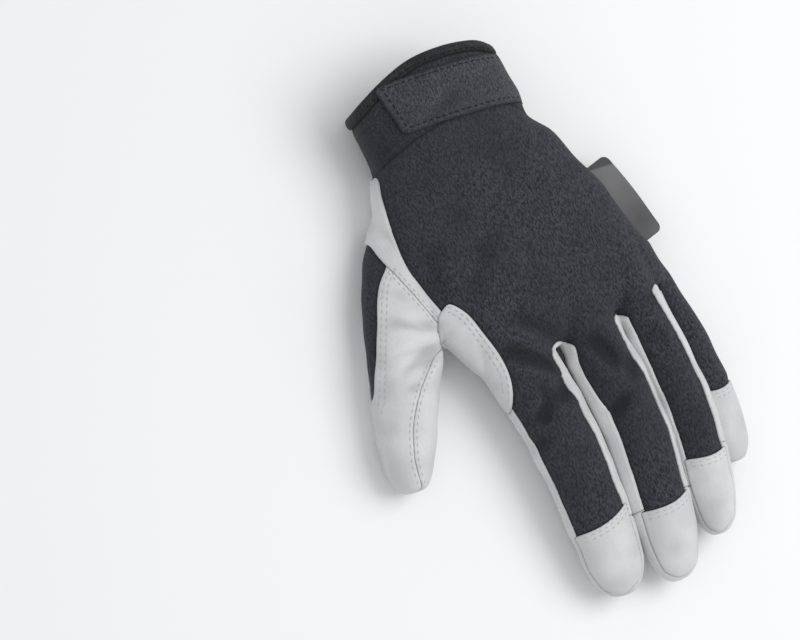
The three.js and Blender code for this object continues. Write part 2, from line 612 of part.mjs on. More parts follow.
// Finishes: charcoal knit and cuff cloth, black tape, grey tag, pale leather
const FINISHES = {
  back_panel: { color: 0x35373f, roughness: 0.95 },
  thumb_gusset: { color: 0x35373f, roughness: 0.95 },
  cuff_band: { color: 0x33353b, roughness: 0.92 },
  closure_strap: { color: 0x36383e, roughness: 0.92 },
  hem_binding: { color: 0x26272b, roughness: 0.85 },
  side_tag: { color: 0x6a6c70, roughness: 0.6 },
};
const LEATHER = { color: 0xcdcdd2, roughness: 0.85 };

const glove = new THREE.Group();
for (const [name, solid] of Object.entries(pieces)) {
  const geometry = mainBody(solid);
  geometry.computeVertexNormals();
  const material = new THREE.MeshStandardMaterial({ ...(FINISHES[name] ?? LEATHER), metalness: 0 });
  const mesh = new THREE.Mesh(geometry, material);
  mesh.name = name;
  glove.add(mesh);
}
export default glove;
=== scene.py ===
"""Looks of a left-hand mechanic glove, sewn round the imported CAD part.

Shapes are worked out in millimetres, in the CAD part's own frame: +X points to
the thumb side, +Y to the fingertips, +Z up from the palm.
"""

import functools

import bpy
import numpy as np
from mathutils import Matrix, Vector
from mathutils.bvhtree import BVHTree


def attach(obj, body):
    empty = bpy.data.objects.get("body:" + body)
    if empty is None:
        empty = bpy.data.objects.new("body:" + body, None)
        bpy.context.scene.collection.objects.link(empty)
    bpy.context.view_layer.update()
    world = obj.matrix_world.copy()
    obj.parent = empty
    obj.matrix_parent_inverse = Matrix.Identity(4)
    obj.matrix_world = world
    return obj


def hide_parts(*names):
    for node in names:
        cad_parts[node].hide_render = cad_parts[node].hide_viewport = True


bl_info = {
    "name": "Mechanic Glove",
    "version": (1, 0, 0),
    "blender": (4, 5, 0),
    "location": "3D View > Sidebar > Glove",
    "description": "Sews the knit, leather, cuff and tag of a mechanic glove round its CAD solids",
    "category": "Add Mesh",
}

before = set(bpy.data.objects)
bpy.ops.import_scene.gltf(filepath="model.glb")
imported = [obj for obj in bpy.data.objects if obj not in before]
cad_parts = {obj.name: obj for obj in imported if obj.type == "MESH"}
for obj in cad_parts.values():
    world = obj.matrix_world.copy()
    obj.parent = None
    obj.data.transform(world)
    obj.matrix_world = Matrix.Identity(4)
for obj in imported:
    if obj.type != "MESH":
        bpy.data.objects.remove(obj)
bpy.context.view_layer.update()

MM = 0.001

# Sizes in millimetres, as the CAD part has them
PALM_LENGTH = 100
PALM_WIDTH = 99.9
WRIST_BACK = 60  # from the origin back to the wrist seam
HAND_THICKNESS = 34
THUMB_LENGTH = 125
THUMB_WIDTH = 33
THUMB_THICKNESS = 26
CUFF_LENGTH = 34
CUFF_WIDTH = 72
CUFF_HEIGHT = 45
BINDING_WIDTH = 4.5
SLIT_LENGTH = 26
SLIT_WIDTH = 2.5
SLIT_HEIGHT = 11  # of its lower edge
STRAP_LENGTH = 60
STRAP_WIDTH = 21
STRAP_CORNER = 4
TAG_LENGTH = 40  # along the seam
TAG_REACH = 13
HEM_Y = -WRIST_BACK - CUFF_LENGTH
ROOT_Y = 0.8 * PALM_LENGTH - WRIST_BACK  # where the fingers' lengths start
FAR = 4 * PALM_LENGTH  # well outside the glove
PALM_SQUARENESS = 2.35  # exponent of the rounded section
ROUND = 2.0

# More of the strap and the tag
STRAP_ROOT = -0.10  # the strap's outer end, as a share of the palm's width
STRAP_START = 0.12  # its fingers' side, as a share of the cuff's length
STRAP_SLANT = 4.5
TAG_LINE = ((-0.30, 0.29), (-0.42, 0.66))  # from its wrist end towards the fingers, as palm shares
TAG_HEIGHT = 0.42  # as a share of the hand's thickness
TAG_SEWN_IN = 1.5
TAG_GAP = 0.75  # half the room between its two layers
TAG_WALL = 0.8
TAG_CORNER = 3
TAG_RIB = 0.7

NEAR_ROW = 1.5  # how far the two rows of stitches lie from a leather seam
FAR_ROW = 3.3
STRAP_STITCHES = 2.0  # how far in from the strap's border they lie
STRAP_SEWN_FROM = -0.08  # as a share of the palm's width
HEM_STITCHES = 1.1  # from the binding's inner edge
CUFF_THREAD = 1.3  # how many times thicker the cuff's thread is
PRESSED = 0.35  # how gradually a section is pressed flat on the table
BINDING_EXTRA = 1.6  # how much more wall the doubled binding tape has


def palm_x(share):
    """X at a share of the palm's width, from the hand's middle line."""
    return share * PALM_WIDTH


def palm_y(share):
    """Y at a share of the palm's length, from the wrist seam."""
    return share * PALM_LENGTH - WRIST_BACK


def on_palm(shares):
    """Plan points from shares of the palm's width and length."""
    return np.array(shares) * [PALM_WIDTH, PALM_LENGTH] - [0, WRIST_BACK]


def clamp01(value):
    return np.clip(value, 0, 1)


def eased(value):
    """0 below 0, 1 above 1, and 3 v^2 - 2 v^3 between."""
    v = clamp01(value)
    return v * v * (3 - 2 * v)


# Sections of the cuff and palm, as shares of the named sizes
CUFF_ROWS = [  # along, middle, width, under, top
    [1.30, 0.295, 0.945, 0.02, 1.03],
    [0.88, 0.290, 0.960, 0.02, 1.02],
    [0.60, 0.275, 0.987, 0.015, 1.00],
    [0.30, 0.258, 0.998, 0.01, 0.96],
]
PALM_ROWS = [  # along, outer, thumb side, under, top, skew
    [0.00, -0.115, 0.602, -0.02, 1.20, 0.00],
    [0.10, -0.205, 0.634, -0.06, 1.12, 0.00],
    [0.22, -0.262, 0.664, -0.09, 1.06, 0.00],
    [0.38, -0.340, 0.675, -0.10, 1.02, 0.03],
    [0.52, -0.375, 0.665, -0.08, 1.00, 0.06],
    [0.66, -0.412, 0.625, -0.05, 0.99, 0.10],
    [0.76, -0.436, 0.570, 0.09, 0.97, 0.14],
    [0.84, -0.445, 0.520, 0.19, 0.93, 0.17],
    [0.90, -0.450, 0.480, 0.28, 0.86, 0.19],
    [0.94, -0.440, 0.440, 0.38, 0.74, 0.20],
]
# Each finger: middle line, length, width, thickness, where the cap starts on
# its outer and thumb side, how far above its middle the knit ends on them, and
# its sections as along, side, across, height, deep. Lift raises the knit's end
# near the crotch, and lean moves the side walls outwards below it.
FINGERS = {
    "little": dict(
        line=-49.09, length=87, width=18.4, thickness=18.4, cap=(0.61, 0.61),
        back=(-0.30, 0.50), lift=0.30, lean=(0, 0),
        rows=[
            [-0.15, 0.60, 0.72, 0.42, 1.10], [0.06, 0.33, 0.84, 0.31, 1.00], [0.28, 0.11, 0.95, 0.27, 1.00],
            [0.48, 0.02, 1.00, 0.27, 1.00], [0.68, 0.00, 1.00, 0.27, 0.99], [0.84, 0.02, 0.97, 0.27, 0.96],
            [0.93, 0.04, 0.80, 0.26, 0.80], [0.985, 0.05, 0.46, 0.26, 0.46],
        ],
    ),
    "ring": dict(
        line=-31.69, length=112.5, width=20.8, thickness=21, cap=(0.693, 0.702),
        back=(0.84, 0.42), lift=0.08, lean=(0, 1.7),
        rows=[
            [-0.13, 0.24, 1.15, 0.55, 1.20], [0.05, 0.22, 1.08, 0.57, 1.10], [0.14, 0.17, 1.06, 0.58, 1.04],
            [0.30, 0.04, 1.03, 0.58, 1.00], [0.50, -0.02, 1.03, 0.57, 1.00], [0.66, 0.01, 1.01, 0.54, 1.00],
            [0.79, 0.07, 0.98, 0.49, 0.97], [0.90, 0.13, 0.88, 0.43, 0.86], [0.965, 0.17, 0.64, 0.40, 0.62],
            [0.995, 0.18, 0.34, 0.39, 0.34],
        ],
    ),
    "middle": dict(
        line=-6.49, length=124.5, width=26.4, thickness=23.4, cap=(0.723, 0.747),
        back=(0.68, 0.56), lift=0.08, lean=(-0.5, 2.2),
        rows=[
            [-0.12, 0.20, 1.05, 0.56, 1.20], [0.04, 0.18, 1.05, 0.59, 1.14], [0.16, 0.15, 1.00, 0.61, 1.05],
            [0.30, 0.06, 1.00, 0.62, 1.02], [0.48, 0.00, 1.00, 0.61, 0.99], [0.64, 0.02, 0.97, 0.56, 0.96],
            [0.79, 0.06, 0.92, 0.50, 0.92], [0.90, 0.10, 0.83, 0.44, 0.82], [0.965, 0.12, 0.62, 0.41, 0.61],
            [0.995, 0.13, 0.32, 0.40, 0.33],
        ],
    ),
    "index": dict(
        line=24.61, length=122, width=29.6, thickness=23, cap=(0.705, 0.760),
        back=(0.74, 0.28), lift=0, lean=(-0.8, 0),
        rows=[
            [-0.12, 0.42, 1.15, 0.55, 1.16], [0.04, 0.33, 1.13, 0.56, 1.12], [0.18, 0.22, 1.09, 0.57, 1.05],
            [0.33, 0.09, 1.03, 0.57, 1.00], [0.49, 0.00, 1.00, 0.56, 0.98], [0.66, -0.04, 0.94, 0.52, 0.95],
            [0.80, -0.07, 0.90, 0.46, 0.91], [0.91, -0.08, 0.80, 0.41, 0.80],
            [0.965, -0.08, 0.60, 0.38, 0.60], [0.995, -0.08, 0.31, 0.37, 0.32],
        ],
    ),
}
THUMB_ROWS = [  # ahead, sideways, across, height, deep
    [0.00, 0.00, 0.44, 0.38, 0.62], [0.15, 0.06, 0.78, 0.43, 0.90], [0.31, 0.11, 0.99, 0.46, 1.02],
    [0.45, 0.155, 1.00, 0.47, 1.02], [0.59, 0.21, 0.90, 0.47, 0.98], [0.72, 0.256, 0.77, 0.46, 0.93],
    [0.825, 0.288, 0.66, 0.45, 0.88], [0.885, 0.300, 0.52, 0.43, 0.72], [0.928, 0.307, 0.32, 0.42, 0.46],
]

PATCH_START = [0.575, 0.68]
CROTCH = [0.550, 0.795]
PALM_FORK = [0.20, 0.31]
# Seams as palm shares, smooth through a few points
SEAM_POINTS = {
    "cuff": [
        [0.75, 0.15], [0.63, 0.06], [0.51, 0.01], [0.40, -0.02], [0.27, -0.05], [0.14, -0.06],
        [0.05, -0.05], [-0.03, -0.03], [-0.10, 0.01], [-0.22, 0.08],
    ],
    "back": [
        [0.598, -0.20], [0.613, 0.03], [0.631, 0.15], [0.643, 0.30], [0.640, 0.46], [0.620, 0.54],
        [0.600, 0.61], PATCH_START,
    ],
    "patch": [
        PATCH_START, [0.535, 0.668], [0.482, 0.735], [0.450, 0.83], [0.420, 0.94], [0.410, 1.04],
        [0.430, 1.15], [0.470, 1.24], [0.600, 1.34],
    ],
    "strip": [
        [0.80, 0.06], [0.728, 0.23], [0.724, 0.38], [0.690, 0.50], [0.648, 0.61], [0.612, 0.69],
        [0.578, 0.75],
    ],
    "thumb": [
        CROTCH, [0.590, 0.815], [0.660, 0.85], [0.760, 0.94], [0.830, 1.03], [0.880, 1.13], [0.905, 1.24],
        [0.890, 1.40],
    ],
    "web": [CROTCH, [0.565, 0.90], [0.600, 1.04], [0.660, 1.20], [0.760, 1.40]],
    "gusset": [
        [0.640, 0.25], [0.685, 0.39], [0.775, 0.50], [0.845, 0.66], [0.915, 0.83], [0.965, 0.95],
        [1.04, 1.04],
    ],
    "fingers": [
        [-0.70, 0.63], [-0.50, 0.66], [-0.46, 0.74], [-0.40, 0.79], [-0.33, 0.83], [-0.26, 0.85],
        [-0.10, 0.87], [0.08, 0.89], [0.20, 0.92], [0.28, 0.98], [0.37, 1.06], [0.46, 1.14], [0.60, 1.20],
    ],
    "heel": [[-0.70, 0.36], [-0.40, 0.33], [-0.30, 0.29], [-0.16, 0.27], [0.00, 0.27], PALM_FORK],
    "thumb_root": [PALM_FORK, [0.36, 0.38], [0.50, 0.47], [0.58, 0.58], [0.575, 0.70], CROTCH],
    "heel_side": [PALM_FORK, [0.22, 0.23], [0.26, 0.14], [0.33, 0.07], [0.42, -0.02], [0.50, -0.15]],
}
HEM_POINTS = [
    [-0.9, 0.24], [-0.47, 0.09], [-0.30, 0.02], [-0.08, 0.0], [0.12, 0.04], [0.30, 0.17], [0.46, 0.34],
    [0.62, 0.54], [0.9, 0.9],
]


def through(knots, rows, count):
    """A smooth curve through rows of numbers at rising knots: cubic Hermite pieces with central slopes."""
    rows = np.asarray(rows, float)
    slopes = np.gradient(rows, knots, axis=0)
    at = np.linspace(knots[0], knots[-1], count)
    i = np.clip(np.searchsorted(knots, at, side="right") - 1, 0, len(knots) - 2)
    step = (knots[i + 1] - knots[i])[:, None]
    t = (at - knots[i])[:, None] / step
    return (
        rows[i] * (1 + 2 * t) * (1 - t) ** 2 + slopes[i] * step * t * (1 - t) ** 2
        + rows[i + 1] * t * t * (3 - 2 * t) + slopes[i + 1] * step * t * t * (t - 1)
    )


def curve(points, count=80):
    """A plan line through points, smooth as above, with the knots at even steps."""
    return through(np.arange(len(points), dtype=float), points, count)


SEAMS = {name: on_palm(curve(points)) for name, points in SEAM_POINTS.items()}
HEM = curve(HEM_POINTS) * [CUFF_WIDTH, CUFF_LENGTH] + [palm_x(0.29), HEM_Y]


# Limbs as rows of x, y, z, half width, half depth, heading, skew
def body_rows():
    """The cuff's sections and then the palm's: each share times the size that it follows."""
    along, middle, width, under, top = np.transpose(CUFF_ROWS)
    level = np.zeros(len(along))
    cuff = np.column_stack([
        palm_x(middle), palm_y(0) - along * CUFF_LENGTH, CUFF_HEIGHT * (under + top) / 2,
        CUFF_WIDTH * width / 2, CUFF_HEIGHT * (top - under) / 2, level, level,
    ])
    along, outer, thumb_side, under, top, skew = np.transpose(PALM_ROWS)
    palm = np.column_stack([
        palm_x(outer + thumb_side) / 2, palm_y(along), HAND_THICKNESS * (under + top) / 2,
        palm_x(thumb_side - outer) / 2, HAND_THICKNESS * (top - under) / 2, np.zeros(len(along)), skew,
    ])
    return np.vstack([cuff, palm])


def finger_rows(name):
    """A finger's sections, its shares times its own sizes, and a small one to close the tip."""
    finger = FINGERS[name]
    rows = np.array(finger["rows"])
    end = rows[-1] * [1, 1, 0, 1, 0] + [0.006, 0, 0.04, 0, 0.04]
    rows = np.vstack([rows, end])
    zero = np.zeros(len(rows))
    return np.column_stack([
        finger["line"] + rows[:, 1] * finger["width"], ROOT_Y + rows[:, 0] * finger["length"],
        rows[:, 3] * HAND_THICKNESS, finger["width"] * rows[:, 2] / 2, finger["thickness"] * rows[:, 4] / 2,
        zero, zero,
    ])


def thumb_rows():
    """The thumb's sections on its bent middle line, each turned the way the line runs there."""
    rows = np.array(THUMB_ROWS)
    x = palm_x(0.53) + rows[:, 1] * THUMB_LENGTH
    y = palm_y(0.16) + rows[:, 0] * THUMB_LENGTH
    heading = np.arctan2(np.gradient(x), np.gradient(y))
    made = np.column_stack([
        x, y, rows[:, 3] * THUMB_THICKNESS, THUMB_WIDTH * rows[:, 2] / 2, THUMB_THICKNESS * rows[:, 4] / 2,
        heading, np.zeros(len(rows)),
    ])
    end = made[-1] + [0.25, 0.8, 0, 0, 0, 0, 0]
    end[3:5] = 0.5
    return np.vstack([made, end])


def grid_faces(rows, columns):
    """Quads of a grid whose columns close on themselves, as index quadruples."""
    a = np.arange(rows - 1)[:, None] * columns + np.arange(columns)[None, :]
    b = np.arange(rows - 1)[:, None] * columns + (np.arange(columns)[None, :] + 1) % columns
    return np.stack([a, a + columns, b + columns, b], axis=-1).reshape(-1, 4)


def limb(rows, squareness, sides=72, count=120):
    """A closed tube: at each distance along the limb its section is the superellipse
    |across/a|^n + |up/b|^n = 1, turned to the limb's heading, with no point far below the table."""
    knots = np.concatenate([[0], np.cumsum(np.linalg.norm(np.diff(rows[:, :5], axis=0), axis=1))])
    x, y, z, across, deep, heading, skew = through(knots, rows, count).T[:, :, None]
    angle = (np.arange(sides) + 0.5) * 2 * np.pi / sides
    power = 2 / squareness
    out = across * np.sign(np.cos(angle)) * np.abs(np.cos(angle)) ** power
    up = z + deep * np.sign(np.sin(angle)) * np.abs(np.sin(angle)) ** power
    up = np.logaddexp(0, up / PRESSED) * PRESSED
    ahead = skew * out
    points = np.stack([
        x + out * np.cos(heading) + ahead * np.sin(heading),
        y - out * np.sin(heading) + ahead * np.cos(heading), up,
    ], axis=-1)
    ends = points[[0, -1]].mean(axis=1)
    quads = grid_faces(count, sides)
    triangles = np.concatenate([quads[:, [0, 1, 2]], quads[:, [0, 2, 3]]])
    first, last = count * sides, count * sides + 1
    k = np.arange(sides)
    following = (k + 1) % sides
    start = np.column_stack([np.full(sides, first), k, following])
    ring = (count - 1) * sides
    finish = np.column_stack([np.full(sides, last), ring + following, ring + k])
    return np.vstack([points.reshape(-1, 3), ends]), np.concatenate([triangles, start, finish])


def fused(limbs, voxel, rounds):
    """One closed skin round overlapping closed tubes: a voxel remesh, eased by averaging neighbours."""
    offsets = np.cumsum([0] + [len(points) for points, _ in limbs])
    points = np.concatenate([points for points, _ in limbs]) * MM
    faces = np.concatenate([faces + offset for (_, faces), offset in zip(limbs, offsets)])
    mesh = bpy.data.meshes.new("limbs")
    mesh.from_pydata(points, [], faces)
    body = bpy.data.objects.new("limbs", mesh)
    bpy.context.scene.collection.objects.link(body)
    remesh = body.modifiers.new("fuse", "REMESH")
    remesh.mode, remesh.voxel_size = "VOXEL", voxel * MM
    ease = body.modifiers.new("ease", "SMOOTH")
    ease.factor, ease.iterations = 0.5, rounds
    made = body.evaluated_get(bpy.context.evaluated_depsgraph_get()).to_mesh()
    made.calc_loop_triangles()
    points = np.empty(len(made.vertices) * 3)
    made.vertices.foreach_get("co", points)
    triangles = np.empty(len(made.loop_triangles) * 3, int)
    made.loop_triangles.foreach_get("vertices", triangles)
    bpy.data.objects.remove(body)
    bpy.data.meshes.remove(mesh)
    return points.reshape(-1, 3) / MM, triangles.reshape(-1, 3)


def normals_of(points, triangles):
    """Each point's normal: the sum of its triangles' cross products, made one long."""
    a, b, c = points[triangles].transpose(1, 0, 2)
    cross = np.cross(b - a, c - a)
    total = np.stack([
        np.bincount(triangles.ravel(), np.repeat(cross[:, axis], 3), len(points)) for axis in range(3)
    ], axis=-1)
    return total / np.maximum(np.linalg.norm(total, axis=1, keepdims=True), 1e-12)


# Fields: how far inside a region each point lies, in millimetres
def in_plan(outline, points):
    """Plan distance to a closed outline, positive inside: the least distance to its
    sides, with the sign from how many of them a ray along +X crosses."""
    outline = np.asarray(outline, float)
    x, y = points[:, 0], points[:, 1]
    nearest = np.full(len(points), np.inf)
    crossings = np.zeros(len(points), bool)
    for (ax, ay), (bx, by) in zip(outline, np.roll(outline, -1, axis=0)):
        dx, dy = bx - ax, by - ay
        t = np.clip(((x - ax) * dx + (y - ay) * dy) / max(dx * dx + dy * dy, 1e-9), 0, 1)
        nearest = np.minimum(nearest, (x - ax - t * dx) ** 2 + (y - ay - t * dy) ** 2)
        if ay != by:
            crossings ^= ((ay > y) != (by > y)) & (x < dx * (y - ay) / dy + ax)
    return np.where(crossings, 1, -1) * np.sqrt(nearest)


SEAM_OUTER = 0.24  # height of the side seam on the palm's outer side, as a share of its thickness
SEAM_GAIN = 0.36  # and how much higher it is on the thumb side


class OnFingers:
    """Where points lie on the four fingers: place across and up as shares of each
    finger's half sizes there, and how much each finger counts for a point."""

    def __init__(self, points):
        self.points = points
        self.rows = {name: finger_rows(name) for name in FINGERS}
        self.spots = {name: self.at(name, points[:, 1]) for name in FINGERS}
        self.across = {}
        self.reach = {}
        for name, (x, z, wide, deep) in self.spots.items():
            self.across[name] = (points[:, 0] - x) / wide
            self.reach[name] = np.hypot(self.across[name], (points[:, 2] - z) / deep)
        nearness = np.exp(-10 * np.stack([np.minimum(r, 6) for r in self.reach.values()]))
        self.weights = dict(zip(FINGERS, nearness / nearness.sum(axis=0)))

    def at(self, name, y):
        """A finger's middle, height and half sizes at places along the hand."""
        rows = self.rows[name]
        kept = rows[:-2]
        return [np.interp(y, kept[:, 1], kept[:, column]) for column in (0, 2, 3, 4)]

    def height(self, shares):
        """Height of a lengthwise seam: on each finger it turns from the share on its
        outer side to the one on its thumb side, and fingers blend by how much they count."""
        total = 0
        for name, (_, z, _, deep) in self.spots.items():
            weight = self.weights[name]
            outer, thumb_side = shares(name)
            thumb_side = thumb_side + FINGERS[name]["lift"] * eased((66 - self.points[:, 1]) / 22)
            turn = eased((self.across[name] + 0.3) / 0.6)
            total = total + weight * (z + deep * (outer + (thumb_side - outer) * turn))
        rise = clamp01(self.points[:, 0] / PALM_WIDTH + 0.4)
        over_palm = HAND_THICKNESS * (SEAM_OUTER + SEAM_GAIN * rise)
        return over_palm + (total - over_palm) * eased((self.points[:, 1] - palm_y(0.72)) / 14)

    def own(self, name):
        """How much nearer a point is to one finger than to the others, about in millimetres."""
        others = np.min([r for other, r in self.reach.items() if other != name], axis=0)
        return (others - self.reach[name]) * 5


def leaned(points):
    """Moves the side walls of the fingers across, below their middles: each by its lean,
    eased in from the middle of the finger to its side and from its middle height down."""
    fingers = OnFingers(points)
    move = np.zeros(len(points))
    for name, finger in FINGERS.items():
        outer, thumb_side = finger["lean"]
        _, z, _, deep = fingers.spots[name]
        across = fingers.across[name]
        under = eased((z + 0.75 * deep - points[:, 2]) / (0.7 * deep)) * eased((points[:, 1] - 40) / 8)
        before_tip = eased((ROOT_Y + 0.95 * finger["length"] - points[:, 1]) / 20)
        aside = outer * eased(-across - 0.1) + thumb_side * eased(across - 0.1)
        move += fingers.weights[name] * aside * under * before_tip
    return points + move[:, None] * [1, 0, 0]


def wristward(line):
    """The plan outline of all that lies on the wrist's side of a line across the hand."""
    return np.vstack([line, [[FAR, line[-1, 1]], [FAR, -FAR], [-FAR, -FAR], [-FAR, line[0, 1]]]])


def rounded_strap():
    """The strap in plan: a band across the back of the cuff with two round corners at its free end."""
    root = palm_x(STRAP_ROOT)
    near = palm_y(0) - STRAP_START * CUFF_LENGTH
    far = near - STRAP_WIDTH - 1
    free = root + STRAP_LENGTH
    turn = np.linspace(0, np.pi / 2, 8)
    first = np.column_stack([np.sin(turn), np.cos(turn)]) * STRAP_CORNER
    second = np.column_stack([np.cos(turn), -np.sin(turn)]) * STRAP_CORNER / 2
    return np.vstack([
        [[root - CUFF_WIDTH, near]], first + [free - STRAP_CORNER, near - STRAP_CORNER],
        second + [free + STRAP_SLANT - STRAP_CORNER / 2, far + STRAP_CORNER / 2], [[root - CUFF_WIDTH, far]],
    ])


CAP_DROP = 0.12  # how much lower than the knit's edge a cap's side edges run
CAP_ARC = 3  # how far a cap's line bows to the tip
FRONT_SHARE = -0.40  # how far above its middle a finger's front ends, in half depths
WALL_REACH = 0.12  # how far past a finger's middle line its side walls go, in widths
UPPER_SIDE = 12  # height from which the knit line below holds
# A side wall's turn: its length, how fast it narrows and how it slants
TURN_LENGTH = 16
TURN_NARROWING = 0.12
TURN_SLANT = 0.17
WEB_START = 14  # last point of the web's seam that the knuckle patch leaves out
# Heights of edges, as shares of the hand's thickness and of the thumb's
PATCH_LOW = 0.36
STRIP_LOW = 0.26
CENTRE_TOP = 0.26
GUSSET_LOW = 0.10
GUSSET_TOP = 0.86
THUMB_BACK_LOW = 0.42
# Crotches from the outer side: the wrist end of the side wall's rounded turn in
# plan, and its radius
CROTCHES = [(-36.8, 26.0, 2.7), (-15.0, 32.6, 3.4), (14.0, 36.0, 5.4)]
OVER_CROTCHES = [(x, y + 0.6 * radius) for x, y, radius in CROTCHES]
# In plan, from the outer side to the thumb side: on the upper side the knit covers
# all that lies wristward of this line
KNIT_LINE = [
    (-50, -100), (-44, 26), *OVER_CROTCHES[:2], (-8, 38), (4.7, 72), (8.1, 52), OVER_CROTCHES[2],
    (20, 52), (23, 44), (29, -100),
]


def cap_line(finger, across):
    """Where a cap starts along the hand: between its two sides' places, plus a low
    arc a (1 - s^2) towards the tip."""
    outer, thumb_side = (ROOT_Y + share * finger["length"] for share in finger["cap"])
    return outer + (thumb_side - outer) * (0.5 + 0.6 * across) + CAP_ARC * (1 - np.minimum(across ** 2, 1))


def in_turn(middle, radius, points):
    """The rounded turn of a side wall at a crotch, positive inside: a round end whose
    sides narrow slowly towards the fingertips."""
    off = points[:, :2] - middle
    ahead = np.clip(off[:, 1], 0, TURN_LENGTH)
    return radius - TURN_NARROWING * ahead - np.hypot(off[:, 0] + TURN_SLANT * ahead, off[:, 1] - ahead)


def piece_fields(points):
    """For each sewn piece, how far inside its own edges each point of the skin lies.
    A piece is its region without the regions of the pieces before it."""
    x, y, z = points.T
    fingers = OnFingers(points)
    over_back = z - fingers.height(lambda name: FINGERS[name]["back"])
    covered = np.minimum(np.interp(x, *np.transpose(KNIT_LINE)) - y, z - UPPER_SIDE)
    over_back = np.maximum(over_back, covered)
    over_front = z - fingers.height(lambda name: (FRONT_SHARE, FRONT_SHARE))
    over_cap = z - fingers.height(lambda name: [share - CAP_DROP for share in FINGERS[name]["back"]])
    fields = {}
    beyond_hem = in_plan(wristward(HEM), points)
    slit = np.minimum.reduce([
        SLIT_WIDTH / 2 - np.abs(z - SLIT_HEIGHT - SLIT_WIDTH / 2), HEM_Y + SLIT_LENGTH - y, palm_x(0.1) - x,
    ])
    from_edge = np.minimum(-beyond_hem, -slit)
    fields["hem_binding"] = np.minimum(from_edge, BINDING_WIDTH - from_edge)
    taken = BINDING_WIDTH - from_edge

    def take(name, region):
        nonlocal taken
        fields[name] = np.minimum(region, -taken)
        taken = np.maximum(taken, region)

    def within(*lines):
        return in_plan(np.vstack(lines), points)

    take("cuff_band", within(wristward(SEAMS["cuff"][::-1])))
    names = list(FINGERS)
    for name, finger in FINGERS.items():
        line = cap_line(finger, fingers.across[name])
        take(f"cap_{name}", np.minimum.reduce([y - line, over_cap, fingers.own(name)]))
    for left, right, (crotch_x, crotch_y, radius) in zip(names, names[1:], CROTCHES):
        end = ROOT_Y + max(FINGERS[left]["cap"][1] * FINGERS[left]["length"],
                           FINGERS[right]["cap"][0] * FINGERS[right]["length"])
        ys = np.linspace(crotch_y + radius, end, 24)
        left_x = fingers.at(left, ys)[0] + WALL_REACH * FINGERS[left]["width"]
        right_x = fingers.at(right, ys)[0] - WALL_REACH * FINGERS[right]["width"]
        outline = np.vstack([np.column_stack([left_x, ys]), np.column_stack([right_x, ys])[::-1]])
        turn = in_turn(np.array([crotch_x, crotch_y + radius]), radius, points)
        between = np.logaddexp(np.minimum(in_plan(outline, points), -over_back), turn)
        take(f"fourchette_{left}_{right}", np.minimum(between, over_front))
    bulge = on_palm([[0.602, 0.80], [0.604, 0.75], [0.592, 0.70]])
    patch = within(SEAMS["patch"], SEAMS["web"][:WEB_START:-1], bulge)
    take("index_patch", np.minimum(patch, z - PATCH_LOW * HAND_THICKNESS))
    strip = within(SEAMS["back"], SEAMS["strip"][::-1], on_palm([[1, 0.06], [1, -0.2]]))
    take("side_strip", np.minimum(strip, z - STRIP_LOW * HAND_THICKNESS))
    around = [[PALM_WIDTH, FAR], [-PALM_WIDTH, FAR], [-PALM_WIDTH, HEM_Y]]
    back = within(SEAMS["back"], on_palm([[PATCH_START[0], 1.30], [1, 1.32]]), around)
    take("back_panel", np.minimum(back, over_back))
    gusset = within(SEAMS["gusset"], on_palm([[1.2, 1.04], [1.2, 0.25]]))
    take("thumb_gusset", np.minimum.reduce([
        gusset, z - GUSSET_LOW * THUMB_THICKNESS, GUSSET_TOP * THUMB_THICKNESS - z,
    ]))
    thumb = within(SEAMS["strip"], SEAMS["thumb"], on_palm([[1.3, 1.5], [1.3, 0.06]]))
    take("thumb_back", np.minimum(thumb, z - THUMB_BACK_LOW * THUMB_THICKNESS))
    corners = on_palm([[1.4, 1.6], [1.4, -0.2]])
    take("thumb_front", within(SEAMS["thumb_root"], SEAMS["web"][1:], corners, SEAMS["heel_side"][::-1]))
    take("heel_panel", within(SEAMS["heel"], SEAMS["heel_side"][1:], on_palm([[-1, -0.2]])))
    centre = within(SEAMS["heel"], SEAMS["thumb_root"][1:], SEAMS["fingers"][::-1])
    take("palm_centre", np.minimum(centre, CENTRE_TOP * HAND_THICKNESS - z))
    fields["palm_panel"] = -taken
    strap = in_plan(rounded_strap(), points)
    fields["closure_strap"] = np.minimum(strap, z - SLIT_HEIGHT)
    return fields


# Creases of the cloth and leather in plan: from, to, width, depth
BACK_CREASES = [
    ([40, 32], [19, 47], 4.5, 2.2), ([31, 21], [12, 37], 5.0, 1.0), ([23, 55], [36, 50], 4.0, 1.0),
    ([18, 52], [26, 64], 3.6, 1.8), ([27, 55], [36, 66], 3.8, 2.0), ([3, 38], [-6, 56], 4.2, 2.2),
    ([-13, 48], [-9, 62], 3.6, 1.5), ([-4, 66], [5, 72], 3.6, 1.7), ([34, 72], [43, 75], 3.4, 0.9),
    ([-24, 40], [-30, 54], 4.0, 0.7), ([-38, 22], [-28, 34], 4.5, 0.7), ([30, -16], [44, 8], 7.0, 0.6),
    ([57.5, 17.0], [79, 6.0], 2.6, 1.2), ([56.5, 19.5], [82.5, 20.5], 2.4, 1.1),
    ([60.5, 22.0], [84, 27.0], 2.6, 1.3), ([59, 14.0], [72, 3.5], 2.0, 0.7),
    ([64, 25], [82, 34], 2.2, 0.8), ([66, 4], [74, -6], 2.2, 0.4), ([86, 20], [92, 34], 2.6, 0.45),
    ([74, 36], [86, 33], 2.2, 0.5), ([52, -20], [56, 6], 6.0, 0.7), ([20, -72], [44, -68], 4.0, 0.5),
]
